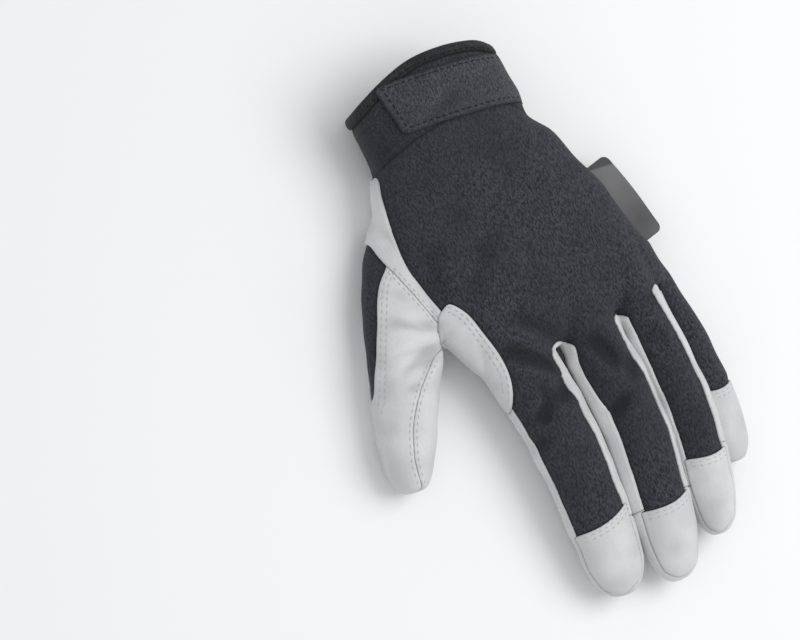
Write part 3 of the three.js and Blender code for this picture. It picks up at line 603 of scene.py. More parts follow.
PALM_CREASES = [
    ([-40, 14], [10, 26], 5.0, 1.2), ([-36, 0], [24, 20], 6.0, 1.0), ([34, -30], [44, 8], 6.0, 1.3),
    ([20, 62], [34, 60], 2.5, 0.9), ([-10, 66], [4, 66], 2.5, 0.9), ([-36, 60], [-26, 60], 2.2, 0.8),
    ([18, 92], [32, 92], 2.2, 0.7), ([-14, 98], [2, 98], 2.2, 0.7), ([-38, 90], [-28, 90], 2.0, 0.6),
]
# Slow waves of the whole skin: how fast along X, Y and Z, and where they start
WAVES = [
    (0.21, 0.13, 0.17, 1.3), (-0.15, 0.24, 0.20, 4.1), (0.33, -0.19, 0.11, 2.2), (0.09, 0.41, -0.23, 0.4),
]
WAVE_HEIGHT = 0.10
FOLD_SHADE_DEPTH = 1.1  # how deep a crease is where its painted shade is darkest


def creased(points, normals):
    """How far the skin moves along its normal: each crease is a valley -d exp(-(r/w)^2)
    with a low ridge on both sides, fading to its ends, and slow waves cover the whole."""
    move = np.zeros(len(points))
    for side, creases in (1, BACK_CREASES), (-1, PALM_CREASES):
        facing = eased(0.2 + side * normals[:, 2])
        for start, end, width, depth in creases:
            a, b = np.array(start, float), np.array(end, float)
            along = ((points[:, :2] - a) @ (b - a)) / ((b - a) @ (b - a))
            foot = a + np.clip(along, 0, 1)[:, None] * (b - a)
            r = np.linalg.norm(points[:, :2] - foot, axis=1) / width
            window = np.sin(np.pi * clamp01(0.15 + 0.7 * along)) ** 1.5
            move += depth * window * facing * (0.45 * np.exp(-((r - 1.7) ** 2) * 1.6) - np.exp(-r * r))
    for *along, phase in WAVES:
        move += WAVE_HEIGHT * np.sin(points @ np.array(along) + phase)
    return move


@functools.lru_cache(maxsize=1)
def skin():
    """The whole hand's skin: points, triangles, normals and the pieces' fields."""
    limbs = [limb(body_rows(), PALM_SQUARENESS, sides=96, count=160), limb(thumb_rows(), ROUND)]
    limbs += [limb(finger_rows(name), ROUND) for name in FINGERS]
    points, triangles = fused(limbs, bpy.context.scene.glove.mesh_size / MM, rounds=5)
    fields = piece_fields(points)
    points = leaned(points)
    normals = normals_of(points, triangles)
    move = creased(points, normals)
    points = points + normals * move[:, None]
    # How deep each point lies in a crease: the mask of the shade painted into the folds' colour
    fields["fold"] = clamp01(-move / FOLD_SHADE_DEPTH)
    return points, triangles, normals_of(points, triangles), fields


def clipped(points, triangles, field):
    """The part of a triangle mesh where a field is positive: whole triangles are kept, and
    those that cross its zero line are cut there. Columns of points after the third go along."""
    inside = field > 0
    count = inside[triangles].sum(axis=1)
    whole = triangles[count == 3]
    cut = triangles[(count == 1) | (count == 2)]
    one_in = inside[cut].sum(axis=1) == 1
    odd = np.argmax(inside[cut] == one_in[:, None], axis=1)
    a, b, c = np.take_along_axis(cut, (odd[:, None] + [0, 1, 2]) % 3, axis=1).T
    pairs = np.sort(np.concatenate([np.column_stack([a, b]), np.column_stack([a, c])]), axis=1)
    edges, where = np.unique(pairs, axis=0, return_inverse=True)
    low, high = edges.T
    share = (field[low] / (field[low] - field[high]))[:, None]
    points = np.vstack([points, points[low] + share * (points[high] - points[low])])
    where = where.reshape(-1) + len(field)
    ab, ac = where[: len(a)], where[len(a):]
    triangles = np.concatenate([
        whole, np.column_stack([a, ab, ac])[one_in],
        np.column_stack([b, c, ac])[~one_in], np.column_stack([b, ac, ab])[~one_in],
    ])
    return tidy(points, triangles)


SCRAP = 60  # a connected part with no more triangles than this is an offcut


def tidy(points, triangles):
    """Drops triangles without area, connected parts of only a few of them, and unused points."""
    a, b, c = triangles.T
    triangles = triangles[(a != b) & (b != c) & (c != a)]
    label = np.arange(len(points))
    links = np.concatenate([triangles[:, [0, 1]], triangles[:, [1, 2]]])
    while True:
        least = np.minimum(label[links[:, 0]], label[links[:, 1]])
        following = label.copy()
        np.minimum.at(following, label[links[:, 0]], least)
        np.minimum.at(following, label[links[:, 1]], least)
        following = following[following]
        if np.array_equal(following, label):
            break
        label = following
    counts = np.bincount(label[triangles[:, 0]], minlength=len(points))
    triangles = triangles[counts[label[triangles[:, 0]]] > SCRAP]
    used, triangles = np.unique(triangles, return_inverse=True)
    return points[used], triangles.reshape(-1, 3)


def walled(points, triangles, normals, wall):
    """A sheet with thickness: its points, the same moved inwards, and a band along its border."""
    count = len(points)
    directed = np.concatenate([triangles[:, [0, 1]], triangles[:, [1, 2]], triangles[:, [2, 0]]])
    key = directed[:, 0] * count + directed[:, 1]
    border = directed[~np.isin(key, directed[:, 1] * count + directed[:, 0])]
    a, b = border.T
    band = np.concatenate([np.column_stack([a, a + count, b + count]), np.column_stack([a, b + count, b])])
    faces = np.concatenate([triangles, triangles[:, ::-1] + count, band])
    return np.vstack([points, points - normals * wall]), faces


def mesh_object(name, points, faces, **values):
    """A smooth-shaded object from arrays in millimetres, with named values for its points."""
    mesh = bpy.data.meshes.new(name)
    faces = np.asarray(faces)
    mesh.vertices.add(len(points))
    mesh.vertices.foreach_set("co", (np.asarray(points) * MM).ravel())
    mesh.loops.add(faces.size)
    mesh.loops.foreach_set("vertex_index", faces.ravel())
    mesh.polygons.add(len(faces))
    mesh.polygons.foreach_set("loop_start", np.arange(len(faces)) * faces.shape[1])
    mesh.polygons.foreach_set("use_smooth", np.ones(len(faces), bool))
    mesh.update(calc_edges=True)
    mesh.validate()
    for key, value in values.items():
        attribute = mesh.attributes.new(key, "FLOAT", "POINT")
        attribute.data.foreach_set("value", np.asarray(value, np.float32))
    made = bpy.data.objects.new(name, mesh)
    bpy.context.scene.collection.objects.link(made)
    return made


# How far pieces rise inside their edges, or sink there
LEATHER_LAP = 0.45
KNIT_DIP = 0.5
TAPE_BULGE = 0.9
STRAP_LIFT = 1.15
STRAP_ROUND = 0.35


def leather_rise(edge, _):
    """Leather laps over its neighbour: it rises from the seam as 1 - exp(-(d/0.4)^2)."""
    return LEATHER_LAP * (1 - np.exp(-((edge / 0.4) ** 2))) - 0.02


def knit_rise(edge, _):
    """Knit is drawn down to its seams and runs on under its neighbour: -exp(-(d/1.8)^2)."""
    return -KNIT_DIP * np.exp(-((np.maximum(edge, 0) / 1.8) ** 2)) + KNIT_DIP * np.minimum(edge, 0)


def tape_rise(edge, _):
    """Binding tape bulges between its two edges."""
    return TAPE_BULGE * (1 - (1 - clamp01(edge / (BINDING_WIDTH / 2))) ** 3)


def strap_rise(edge, points):
    """The strap lies its own thickness above the cuff, is rounded over along its edge, and
    sinks to the cuff on the outer side, where it goes to the slit."""
    sunk = 0.3 + 0.7 * eased((points[:, 0] + 8) / 14)
    return (STRAP_LIFT + STRAP_ROUND * (1 - np.exp(-((edge / 0.5) ** 2)))) * sunk


UNDER = -0.6  # how far knit and cuff cloth run on under their neighbours
SEWN = {}


def sew(node, rise, wall, material, seam=0.03):
    """Cuts one piece out of the skin, lifts it by its rise, gives it a wall, and puts it
    in the place of its CAD node."""
    points, triangles, normals, fields = skin()
    data = np.column_stack([points, normals, fields[node], fields["fold"]])
    data, faces = clipped(data, triangles, fields[node] - seam)
    points, normals, edge, fold = data[:, :3], data[:, 3:6], data[:, 6], data[:, 7]
    normals = normals / np.linalg.norm(normals, axis=1, keepdims=True)
    points = points + normals * rise(edge, points)[:, None]
    points[:, 2] = np.maximum(points[:, 2], 0)
    solid, faces = walled(points, faces, normals_of(points, faces), wall)
    solid[:, 2] = np.maximum(solid[:, 2], 0)
    # The fold value goes along as the mask of the painted shade in folds
    made = mesh_object(f"sewn_{node}", solid, faces, edge=np.tile(edge, 2), fold=np.tile(fold, 2))
    made.data.materials.append(material)
    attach(made, "root")
    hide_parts(node)
    SEWN[node] = made


# Stitches
def spaced(line, pitch):
    """Points along a line at an even pitch."""
    length = np.concatenate([[0], np.cumsum(np.linalg.norm(np.diff(line, axis=0), axis=1))])
    at = np.arange(pitch / 2, length[-1], pitch)
    return np.column_stack([np.interp(at, length, line[:, axis]) for axis in range(line.shape[1])])


def beside(line, distance):
    """A plan line moved sideways, to its left for a positive distance."""
    along = np.gradient(line, axis=0)
    along /= np.maximum(np.linalg.norm(along, axis=1, keepdims=True), 1e-9)
    return line + distance * np.column_stack([-along[:, 1], along[:, 0]])


def threads(name, rows, material, length, thick):
    """Each stitch is a short capsule: rings of radius r sqrt(1 - s^2) along an arch that
    dips into the cloth at both ends. rows holds arrays of start, end and outward vectors."""
    start, end, out = (np.concatenate(part) for part in zip(*rows))
    along = end - start
    size = np.linalg.norm(along, axis=1)
    keep = (size > 0.3 * length) & (size < 2.5 * length)
    start, end, out, along = start[keep], end[keep], out[keep], along[keep]
    along /= np.linalg.norm(along, axis=1, keepdims=True)
    side = np.cross(along, out)
    side /= np.linalg.norm(side, axis=1, keepdims=True)
    out = np.cross(side, along)
    s = np.array([-0.98, -0.7, 0, 0.7, 0.98])
    turn = np.arange(6) * np.pi / 3
    radius = thick / 2 * np.sqrt(1 - s * s)
    middle = (start + end)[:, None] / 2 + along[:, None] * (s * length / 2)[None, :, None]
    middle = middle + out[:, None] * (thick * (0.25 - 0.55 * s * s))[None, :, None]
    ring = (
        side[:, None, None] * (np.cos(turn)[None, None, :, None] * radius[None, :, None, None])
        + out[:, None, None] * (np.sin(turn)[None, None, :, None] * radius[None, :, None, None])
    )
    points = (middle[:, :, None] + ring).reshape(len(start), -1, 3)
    quads = grid_faces(len(s), 6)[:, ::-1]
    # Two quads close the ring of six at each end
    caps = np.array([[0, 1, 2, 3], [0, 3, 4, 5], [27, 26, 25, 24], [24, 29, 28, 27]])
    shape = np.concatenate([quads, caps])
    faces = (shape[None] + (np.arange(len(start)) * points.shape[1])[:, None, None]).reshape(-1, 4)
    made = mesh_object(name, points.reshape(-1, 3), faces)
    made.data.materials.append(material)
    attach(made, "root")
    return made


def surface_of(nodes):
    """A search tree over some sewn pieces, in metres."""
    points, faces, offset = [], [], 0
    for node in nodes:
        mesh = SEWN[node].data
        co = np.empty(len(mesh.vertices) * 3)
        mesh.vertices.foreach_get("co", co)
        index = np.empty(len(mesh.loops), int)
        mesh.loops.foreach_get("vertex_index", index)
        points.append(co.reshape(-1, 3))
        faces.append(index.reshape(-1, 3) + offset)
        offset += len(mesh.vertices)
    return BVHTree.FromPolygons(np.concatenate(points).tolist(), np.concatenate(faces).tolist())


RAY_START = 0.2  # how far above or below the glove a search starts, in metres
STEEP = 0.15  # least vertical share of a normal where a stitch is still laid


def laid(tree, line, pitch, length, from_above=True):
    """Stitches along a plan line, dropped on the sewn surface from above or from below."""
    step = 1 if from_above else -1
    middles = spaced(line, pitch)
    ahead = spaced(line, pitch / 8)
    found = [[], [], []]
    for x, y in middles:
        near = np.argsort((ahead[:, 0] - x) ** 2 + (ahead[:, 1] - y) ** 2)[:2]
        toward = ahead[near.max()] - ahead[near.min()]
        toward = toward / max(np.linalg.norm(toward), 1e-9) * length / 2
        ends = []
        for sign in (-1, 1):
            x_end, y_end = x + sign * toward[0], y + sign * toward[1]
            origin = Vector((x_end * MM, y_end * MM, step * RAY_START))
            place, normal, _, _ = tree.ray_cast(origin, Vector((0, 0, -step)))
            ends.append((place, normal))
        if all(place is not None and normal.z * step > STEEP for place, normal in ends):
            found[0].append(np.array(ends[0][0]) / MM)
            found[1].append(np.array(ends[1][0]) / MM)
            found[2].append(np.array(ends[0][1] + ends[1][1]))
    return [np.array(part).reshape(-1, 3) for part in found]


# Materials
class Wire:
    """A socket's value in a material, used in sums: a + b, a - b, 1 - a, 2 * a, a / 2."""

    def __init__(self, finish, socket):
        self.finish = finish
        self.socket = socket

    def math(self, operation, *others):
        return self.finish.node("ShaderNodeMath", {"operation": operation}, {
            i: value for i, value in enumerate((self, *others))
        })

    def __add__(self, other):
        return self.math("ADD", other)

    def __mul__(self, other):
        return self.math("MULTIPLY", other)

    def __sub__(self, other):
        return self.math("SUBTRACT", other)

    def __truediv__(self, other):
        return self.math("DIVIDE", other)

    def __rsub__(self, other):
        return self.finish.node("ShaderNodeMath", {"operation": "SUBTRACT"}, {0: other, 1: self})

    __radd__ = __add__
    __rmul__ = __mul__


class Finish:
    """One material's nodes."""

    def __init__(self, name):
        self.material = bpy.data.materials.new(name)
        self.material.use_nodes = True
        self.nodes = self.material.node_tree.nodes
        self.nodes.clear()
        self.place = self.node("ShaderNodeTexCoord", out="Object")

    def node(self, kind, settings=None, sockets=None, out=0):
        """Any node: its settings are set first, then the values or wires of its sockets."""
        made = self.nodes.new(kind)
        for key, value in (settings or {}).items():
            setattr(made, key, value)
        for key, value in (sockets or {}).items():
            socket = made.inputs[key]
            if isinstance(value, Wire):
                self.material.node_tree.links.new(value.socket, socket)
            else:
                socket.default_value = value
        return Wire(self, made.outputs[out]) if made.outputs else None

    def moved(self, scale=(1, 1, 1), turn=(0, 0, 0)):
        return self.node("ShaderNodeMapping", None, {
            "Vector": self.place, "Scale": scale, "Rotation": turn,
        })

    def noise(self, scale, detail=2.0, rough=0.5, vector=None):
        return self.node("ShaderNodeTexNoise", None, {
            "Vector": vector or self.place, "Scale": scale, "Detail": detail, "Roughness": rough,
        })

    def ramp(self, value, low, high, to_low=0.0, to_high=1.0):
        return self.node("ShaderNodeMapRange", {"interpolation_type": "SMOOTHSTEP"}, {
            "Value": value, "From Min": low, "From Max": high, "To Min": to_low, "To Max": to_high,
        })

    def mix(self, factor, a, b):
        return self.node("ShaderNodeMix", {"data_type": "RGBA"}, {"Factor": factor, 6: a, 7: b}, out=2)

    def edge(self):
        """Distance from the piece's edge, in millimetres."""
        return self.node("ShaderNodeAttribute", {"attribute_name": "edge"}, out="Fac")

    def fold(self):
        """How deep in a fold a place lies, from 0 to 1: the mask of the painted shade in folds."""
        return self.node("ShaderNodeAttribute", {"attribute_name": "fold"}, out="Fac")

    def bell(self, value, middle, width):
        """A smooth bump of height 1 at one value: exp(-((v - m) / w)^2)."""
        off = (value - middle) / width
        return (off * off * -1).math("EXPONENT")

    def bump(self, height, distance, strength):
        return self.node("ShaderNodeBump", None, {
            "Height": height, "Distance": distance, "Strength": strength,
        })

    def surface(self, color, rough, normal=None, **fixed):
        """The finished material: its colour, roughness and relief, and fixed values of other sockets."""
        sockets = {"Base Color": color, "Roughness": rough}
        if normal:
            sockets["Normal"] = normal
        sockets.update({name.replace("_", " "): value for name, value in fixed.items()})
        shader = self.node("ShaderNodeBsdfPrincipled", None, sockets)
        self.node("ShaderNodeOutputMaterial", None, {"Surface": shader})
        return self.material


def shade(color, factor):
    """A colour made darker or lighter, with its alpha."""
    return (*[min(1.0, c * factor) for c in color[:3]], 1)


def leather_material(settings):
    """Suede: a soft mottle, fine nap over low dimples, a groove under each row of stitches, and painted
    shade in its folds and along its edge at the seam."""
    f = Finish("suede_leather")
    edge = f.edge()
    color = settings.leather
    mottle = f.noise(45, 3, 0.55)
    nap = f.noise(900, 3, 0.6)
    nap_long = f.noise(260, 2, 0.6, f.moved((1, 0.45, 1)))
    tone = f.mix(f.ramp(mottle, 0.35, 0.68), shade(color, 0.90), shade(color, 1.06))
    tone = f.mix(f.ramp(nap, 0.3, 0.75) * 0.35, tone, shade(color, 0.86))
    # Painted shade in folds, darkest where the crease is deepest
    tone = f.mix(f.fold() * 0.6, tone, shade(color, 0.45))
    # Painted shade along the edge, where the leather meets its seam
    tone = f.mix((1 - f.ramp(edge, 0.0, 0.5)) * 0.4, tone, shade(color, 0.55))
    rows = f.bell(edge, NEAR_ROW, 0.35) + f.bell(edge, FAR_ROW, 0.35)
    height = nap * 0.10 + nap_long * 0.22 + f.noise(120, 2) * 0.5 - rows * 0.1
    return f.surface(tone, f.ramp(nap, 0.3, 0.7, 0.78, 0.92), f.bump(height, 0.0006, 0.55),
                     Sheen_Weight=0.25, Sheen_Roughness=0.5, Specular_IOR_Level=0.25)


def cloth_material(name, color, yarn, depth, painted_seam_shade=0.5):
    """Fine knit or woven cloth: yarn-sized flecks stretched along two slanting directions, a few paler
    fibres, slow random darker patches of painted shade standing in for soft dimples, and painted shade in
    folds and where it goes into a seam."""
    f = Finish(name)
    edge = f.edge()
    fine = 1 / (yarn * MM)
    slant = f.noise(fine, 2, 0.6, f.moved((1, 0.4, 1), (0, 0, 0.75)))
    cross = f.noise(fine * 0.8, 2, 0.6, f.moved((1, 0.45, 1), (0, 0, -0.65)))
    fleck = f.noise(fine * 1.6, 2, 0.7)
    weave = slant * 0.45 + cross * 0.3 + fleck * 0.25
    tone = f.mix(f.ramp(weave, 0.40, 0.60), shade(color, 0.36), shade(color, 1.7))
    tone = f.mix(f.ramp(fleck, 0.58, 0.72) * 0.4, tone, shade(color, 2.6))
    # Slow random darker patches: painted shade standing in for soft dimples
    tone = f.mix(f.ramp(f.noise(22, 3), 0.38, 0.68) * 0.45, tone, shade(color, 0.72))
    # Painted shade in folds, darkest where the crease is deepest
    tone = f.mix(f.fold() * 0.7, tone, shade(color, 0.3))
    # Painted shade where the cloth goes into a seam
    tone = f.mix((1 - f.ramp(edge, 0.0, 1.3)) * painted_seam_shade, tone, shade(color, 0.3))
    return f.surface(tone, 0.95, f.bump(weave, depth, 0.9),
                     Sheen_Weight=0.08, Sheen_Roughness=0.6, Specular_IOR_Level=0.15)


def thread_material(name, color):
    """Twisted thread, a little uneven in colour."""
    f = Finish(name)
    twist = f.noise(2500, 2)
    tone = f.mix(f.ramp(twist, 0.3, 0.7), shade(color, 0.8), shade(color, 1.1))
    return f.surface(tone, 0.7, f.bump(twist, 0.0001, 0.5), Specular_IOR_Level=0.3)


def tag_material(settings):
    """Smooth ribbon with fine ribs across it: paler towards the wrist end, and dark on a narrow strip right
    at that end."""
    f = Finish("tag_ribbon")
    color = settings.tag
    along = f.node("ShaderNodeSeparateXYZ", None, {0: f.place}, out=1)
    ribs = (along * (2 * np.pi / (TAG_RIB * MM))).math("SINE")
    start = palm_y(TAG_LINE[0][1]) * MM
    tone = f.mix(f.ramp(along, start + 0.008, start + 0.030), shade(color, 1.25), shade(color, 0.55))
    tone = f.mix(f.ramp(f.noise(70, 3), 0.3, 0.75) * 0.35, tone, shade(color, 1.5))
    tone = f.mix(f.ramp(along, start + 0.0005, start + 0.0015), shade(color, 0.42), tone)
    return f.surface(tone, 0.5, f.bump(ribs + f.noise(300, 2) * 2, 0.0001, 0.4), Specular_IOR_Level=0.4)


MATERIALS = {}
CLOTH_DEPTH = 0.0003  # relief of the woven cloths in metres


def material(name):
    """The named finish, made when it is first asked for."""
    settings = bpy.context.scene.glove
    makers = {
        "leather": lambda: leather_material(settings),
        "knit": lambda: cloth_material("stretch_knit", settings.knit, yarn=0.62, depth=0.0005),
        "cuff": lambda: cloth_material("cuff_cloth", settings.cuff, 0.55, CLOTH_DEPTH, painted_seam_shade=0.8),
        # The strap's paler colour is painted light on the cuff's own cloth
        "strap": lambda: cloth_material("strap_cloth_painted_light", settings.strap, 0.5, CLOTH_DEPTH, painted_seam_shade=0.8),
        "binding": lambda: cloth_material("binding_tape", settings.binding, 0.6, CLOTH_DEPTH),
        "pale_thread": lambda: thread_material("pale_thread", settings.pale_thread),
        "dark_thread": lambda: thread_material("dark_thread", settings.dark_thread),
        "tag": lambda: tag_material(settings),
    }
    if name not in MATERIALS:
        MATERIALS[name] = makers[name]()
    return MATERIALS[name]


def length_setting(name, description, millimetres, least=0):
    return bpy.props.FloatProperty(
        name=name, description=description, default=millimetres * MM, min=least * MM, unit="LENGTH")


def color_setting(name, description, default):
    return bpy.props.FloatVectorProperty(
        name=name, description=description, default=default, subtype="COLOR", min=0, max=1)


class GloveSettings(bpy.types.PropertyGroup):
    """Sizes and colours of the glove that a user would change."""

    mesh_size: length_setting("Mesh Size", "How finely the skin is meshed", 0.8, 0.4)
    wall: length_setting("Wall", "Thickness of the knit and the leather", 1.6)
    strap_wall: length_setting("Strap Wall", "Thickness of the closure strap", 1.4)
    stitch_pitch: length_setting("Stitch Pitch", "From one stitch to the next", 2.9)
    stitch_length: length_setting("Stitch Length", "Length of one stitch", 2.2)
    thread: length_setting("Thread", "Thickness of the thread", 0.42)
    leather: color_setting("Leather", "Colour of the suede", (0.63, 0.63, 0.64))
    knit: color_setting("Knit", "Colour of the back", (0.034, 0.0355, 0.044))
    cuff: color_setting("Cuff", "Colour of the cuff cloth", (0.030, 0.031, 0.037))
    # Painted light: the strap is the same cloth as the cuff, given a paler colour to stand in for the light
    # on its top
    strap: color_setting("Strap", "Colour of the closure strap", (0.050, 0.0515, 0.060))
    binding: color_setting("Binding", "Colour of the binding tape", (0.024, 0.0245, 0.027))
    pale_thread: color_setting("Pale Thread", "Colour of the thread in the leather", (0.50, 0.50, 0.52))
    dark_thread: color_setting("Dark Thread", "Colour of the thread in the cuff", (0.005, 0.005, 0.006))
    tag: color_setting("Tag", "Colour of the side tag", (0.105, 0.105, 0.11))
    floor: color_setting("Floor", "Colour of the floor", (0.88, 0.885, 0.89))


class GLOVE_OT_back(bpy.types.Operator):
    """Sews the knit back and the knit gusset of the thumb"""

    bl_idname = "glove.back"
    bl_label = "Knit Back"

    def execute(self, context):
        wall = context.scene.glove.wall / MM
        for node in ("back_panel", "thumb_gusset"):
            sew(node, knit_rise, wall, material("knit"), seam=UNDER)
        return {"FINISHED"}


class GLOVE_OT_leather(bpy.types.Operator):
    """Sews the leather palm, thumb, fingertips, side walls and knuckle patch"""

    bl_idname = "glove.leather"
    bl_label = "Leather"

    def execute(self, context):
        wall = context.scene.glove.wall / MM
        nodes = [f"cap_{name}" for name in FINGERS]
        nodes += [f"fourchette_{left}_{right}" for left, right in zip(FINGERS, list(FINGERS)[1:])]
        nodes += ["index_patch", "side_strip", "thumb_back", "thumb_front", "heel_panel", "palm_centre",
                  "palm_panel"]
        for node in nodes:
            sew(node, leather_rise, wall, material("leather"))
        return {"FINISHED"}


class GLOVE_OT_cuff(bpy.types.Operator):
    """Sews the cuff, its bound hem and slit, and the closure strap"""

    bl_idname = "glove.cuff"
    bl_label = "Cuff"

    def execute(self, context):
        settings = context.scene.glove
        wall = settings.wall / MM
        sew("cuff_band", knit_rise, wall, material("cuff"), seam=UNDER)
        sew("hem_binding", tape_rise, wall + BINDING_EXTRA, material("binding"))
        sew("closure_strap", strap_rise, settings.strap_wall / MM, material("strap"))
        return {"FINISHED"}


class GLOVE_OT_tag(bpy.types.Operator):
    """Folds the side tag and sews it into the outer seam"""

    bl_idname = "glove.tag"
    bl_label = "Side Tag"

    def execute(self, context):
        made = mesh_object("folded_side_tag", *folded_tag())
        made.data.materials.append(material("tag"))
        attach(made, "root")
        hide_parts("side_tag")
        return {"FINISHED"}


def folded_tag():
    """Tape folded double: its section runs out along the lower layer, round the fold and back
    along the upper one, and is carried along the seam. It narrows by a quarter circle at both
    ends, and a wall closes it on all sides."""
    start, further = on_palm(TAG_LINE)
    toward = further - start
    toward /= np.linalg.norm(toward)
    out = np.array([-toward[1], toward[0]])
    bend = TAG_REACH - 1
    straight = np.linspace(-TAG_SEWN_IN, bend, 14)
    turn = np.linspace(-np.pi / 2, np.pi / 2, 9)[1:-1]
    low = np.column_stack([straight, np.full(14, -TAG_GAP)])
    fold = np.column_stack([bend + TAG_GAP * np.cos(turn), TAG_GAP * np.sin(turn)])
    high = low[::-1] * [1, -1]
    middle = np.vstack([low, fold, high])
    along = np.gradient(middle, axis=0)
    along /= np.linalg.norm(along, axis=1, keepdims=True)
    side = np.column_stack([along[:, 1], -along[:, 0]])
    section = np.vstack([middle + side * TAG_WALL / 2, (middle - side * TAG_WALL / 2)[::-1]])
    rows = TAG_LENGTH * (0.5 - 0.5 * np.cos(np.linspace(0, np.pi, 41)))
    s, (u, v) = rows[:, None], section.T[:, None, :]
    corner = clamp01(1 - np.minimum(s, TAG_LENGTH - s) / TAG_CORNER)
    u = u * (1 - TAG_CORNER / TAG_REACH * (1 - np.sqrt(1 - corner ** 2)))
    bow = 0.9 * np.sin(np.pi * s / TAG_LENGTH) * (u / TAG_REACH) ** 2
    ripple = 0.25 * np.sin(s / 5.1 + u / 4) * clamp01(u / TAG_REACH)
    u = u * (1 + 0.02 * np.sin(s / 7))
    points = np.stack([
        start[0] + toward[0] * s + out[0] * u, start[1] + toward[1] * s + out[1] * u,
        TAG_HEIGHT * HAND_THICKNESS + v + bow + ripple,
    ], axis=-1).reshape(-1, 3)
    count = len(section)
    half = np.arange(count // 2 - 1)
    strip = np.column_stack([half, half + 1, count - 2 - half, count - 1 - half])
    quads = grid_faces(len(rows), count)
    return points, np.concatenate([quads, strip, strip[:, ::-1] + (len(rows) - 1) * count])


def seam_part(name, low, high):
    """The part of a seam between two shares of its length."""
    line = SEAMS[name]
    return line[int(low * (len(line) - 1)): int(high * (len(line) - 1)) + 1]


# Sewn seams: name, from and to as shares of the length, and where the rows lie, to the left
PALM_SEWN = (
    ("fingers", 0.1, 0.95, (NEAR_ROW, FAR_ROW, -NEAR_ROW)),
    ("heel", 0.1, 1, (NEAR_ROW, -NEAR_ROW, -FAR_ROW)),
    ("thumb_root", 0, 0.98, (NEAR_ROW, FAR_ROW, -NEAR_ROW)),
    ("heel_side", 0, 0.9, (NEAR_ROW, -NEAR_ROW, FAR_ROW)),
)
BACK_SEWN = (
    ("patch", 0.05, 0.97, (-NEAR_ROW, -FAR_ROW)), ("strip", 0.43, 0.90, (NEAR_ROW, -NEAR_ROW)),
    ("gusset", 0.24, 0.9, (NEAR_ROW, FAR_ROW)), ("thumb", 0.1, 0.97, (NEAR_ROW, -NEAR_ROW)),
)


class GLOVE_OT_stitches(bpy.types.Operator):
    """Lays the rows of stitches on the leather and on the cuff"""

    bl_idname = "glove.stitches"
    bl_label = "Stitches"

    def execute(self, context):
        settings = context.scene.glove
        pitch, length, thick = (value / MM for value in (
            settings.stitch_pitch, settings.stitch_length, settings.thread))
        cuff_nodes = ("hem_binding", "closure_strap", "cuff_band")
        leather = surface_of([node for node in SEWN if node not in cuff_nodes])

        def row(line, above=True, tree=leather):
            return laid(tree, line, pitch, length, above)

        def along_seams(sewn, above):
            return [
                row(beside(seam_part(name, low, high), side), above)
                for name, low, high, sides in sewn for side in sides
            ]

        palm = along_seams(PALM_SEWN, False)
        threads("stitches_palm", palm, material("pale_thread"), length, thick)

        back = along_seams(BACK_SEWN, True)
        for name, finger in FINGERS.items():
            rows = finger_rows(name)[:-2]
            across = np.linspace(-0.9, 0.9, 40)
            y = cap_line(finger, across)
            x = np.interp(y, rows[:, 1], rows[:, 0]) + across * np.interp(y, rows[:, 1], rows[:, 3])
            line = np.column_stack([x, y])
            back += [row(line + [0, NEAR_ROW]), row(line + [0, FAR_ROW])]
        threads("stitches_back", back, material("pale_thread"), length, thick)

        strap = surface_of(["closure_strap"])
        border = rounded_strap()[1:-1]
        start = palm_x(STRAP_SEWN_FROM)
        border = np.vstack([[[start, border[0, 1]]], border, [[start, border[-1, 1]]]])
        cuff = [row(beside(spaced(border, 0.5), -STRAP_STITCHES), True, strap)]
        hem = surface_of(["hem_binding"])
        edge = HEM + [0, BINDING_WIDTH - HEM_STITCHES]
        cuff += [row(edge, True, hem), row(edge, False, hem)]
        threads("stitches_cuff", cuff, material("dark_thread"), length, CUFF_THREAD * thick)
        return {"FINISHED"}


# The photograph's view: how the view line tilts towards +X and +Y in degrees, how far
# away the camera is, what one pixel covers, the picture's size, and where the model's
# origin and its +Y direction show in it
VIEW_TILTS = (20, 8)
VIEW_DISTANCE = 1300
PIXEL = 0.4246
PICTURE = (800, 640)
ORIGIN_PIXEL = (537, 268)
HAND_DIRECTION = np.array([0.364, -0.932])
FILM_WIDTH = 36
# Soft lamps: place in metres, size, power
LAMPS = {"key": ((-0.55, 0.10, 1.1), 0.9, 8.6), "fill": ((0.6, 0.3, 1.0), 1.2, 1.8)}
SKY = (0.98, 0.99, 1.0, 1)
SKY_STRENGTH = 0.57
FLOOR = 4  # half its width in metres


def photo_camera():
    """A camera whose picture shows the glove where the photograph does. Its back axis has
    the two tilts as slopes, and its up axis is the hand's direction turned by the picture's."""
    back = np.array([*np.tan(np.radians(VIEW_TILTS)), 1])
    back /= np.linalg.norm(back)
    fingers = np.array([0, 1, 0]) - back[1] * back
    fingers /= np.linalg.norm(fingers)
    across = np.cross(fingers, back)
    a, b = HAND_DIRECTION / np.linalg.norm(HAND_DIRECTION)
    right, up = a * fingers + b * across, b * fingers - a * across
    off_x, off_y = np.array(ORIGIN_PIXEL) - np.array(PICTURE) / 2
    place = VIEW_DISTANCE * back - PIXEL * (off_x * right - off_y * up)
    lens = bpy.data.cameras.new("camera")
    lens.lens, lens.sensor_width = FILM_WIDTH * VIEW_DISTANCE / PIXEL / PICTURE[0], FILM_WIDTH
    lens.clip_start, lens.clip_end = 0.05, 20
    camera = bpy.data.objects.new("camera", lens)
    axes = Matrix(np.column_stack([right, up, back])).to_4x4()
    camera.matrix_world = Matrix.Translation(place * MM) @ axes
    return camera


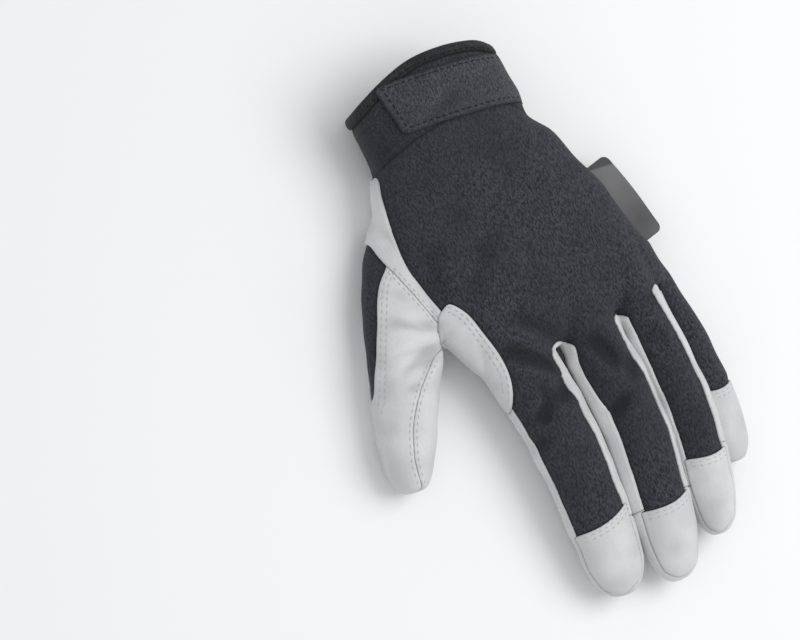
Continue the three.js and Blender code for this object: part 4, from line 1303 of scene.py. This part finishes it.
class GLOVE_OT_stage(bpy.types.Operator):
    """Sets the floor, the lights and the camera"""

    bl_idname = "glove.stage"
    bl_label = "Stage"

    def execute(self, context):
        scene = context.scene
        settings = scene.glove
        mesh = bpy.data.meshes.new("floor")
        corners = [(-FLOOR, -FLOOR, 0), (FLOOR, -FLOOR, 0), (FLOOR, FLOOR, 0), (-FLOOR, FLOOR, 0)]
        mesh.from_pydata(corners, [], [(0, 1, 2, 3)])
        floor = bpy.data.objects.new("floor", mesh)
        scene.collection.objects.link(floor)
        f = Finish("pale_floor")
        floor.data.materials.append(f.surface((*settings.floor, 1), 0.9, Specular_IOR_Level=0.1))

        world = bpy.data.worlds.new("studio")
        world.use_nodes = True
        sky = world.node_tree.nodes["Background"].inputs
        sky[0].default_value, sky[1].default_value = SKY, SKY_STRENGTH
        scene.world = world
        for name, (place, size, power) in LAMPS.items():
            light = bpy.data.lights.new(name, "AREA")
            light.energy, light.size = power, size
            lamp = bpy.data.objects.new(name, light)
            lamp.location = place
            lamp.rotation_euler = (-Vector(place)).to_track_quat("-Z", "Y").to_euler()
            scene.collection.objects.link(lamp)
        scene.camera = photo_camera()
        scene.collection.objects.link(scene.camera)
        scene.view_settings.view_transform = "Standard"
        return {"FINISHED"}


class GLOVE_PT_panel(bpy.types.Panel):
    """Lists the glove's settings and the steps of making it"""

    bl_idname = "GLOVE_PT_panel"
    bl_label = "Mechanic Glove"
    bl_space_type = "VIEW_3D"
    bl_region_type = "UI"
    bl_category = "Glove"

    def draw(self, context):
        for name in GloveSettings.__annotations__:
            self.layout.prop(context.scene.glove, name)
        for step in STEPS:
            self.layout.operator(step.bl_idname)


STEPS = (GLOVE_OT_back, GLOVE_OT_leather, GLOVE_OT_cuff, GLOVE_OT_tag, GLOVE_OT_stitches, GLOVE_OT_stage)
CLASSES = (GloveSettings, *STEPS, GLOVE_PT_panel)


def register():
    for cls in CLASSES:
        bpy.utils.register_class(cls)
    bpy.types.Scene.glove = bpy.props.PointerProperty(type=GloveSettings)


def unregister():
    del bpy.types.Scene.glove
    for cls in reversed(CLASSES):
        bpy.utils.unregister_class(cls)


def main():
    register()
    for step in STEPS:
        group, name = step.bl_idname.split(".")
        getattr(getattr(bpy.ops, group), name)()
    bpy.context.view_layer.update()


if __name__ == "__main__":
    main()
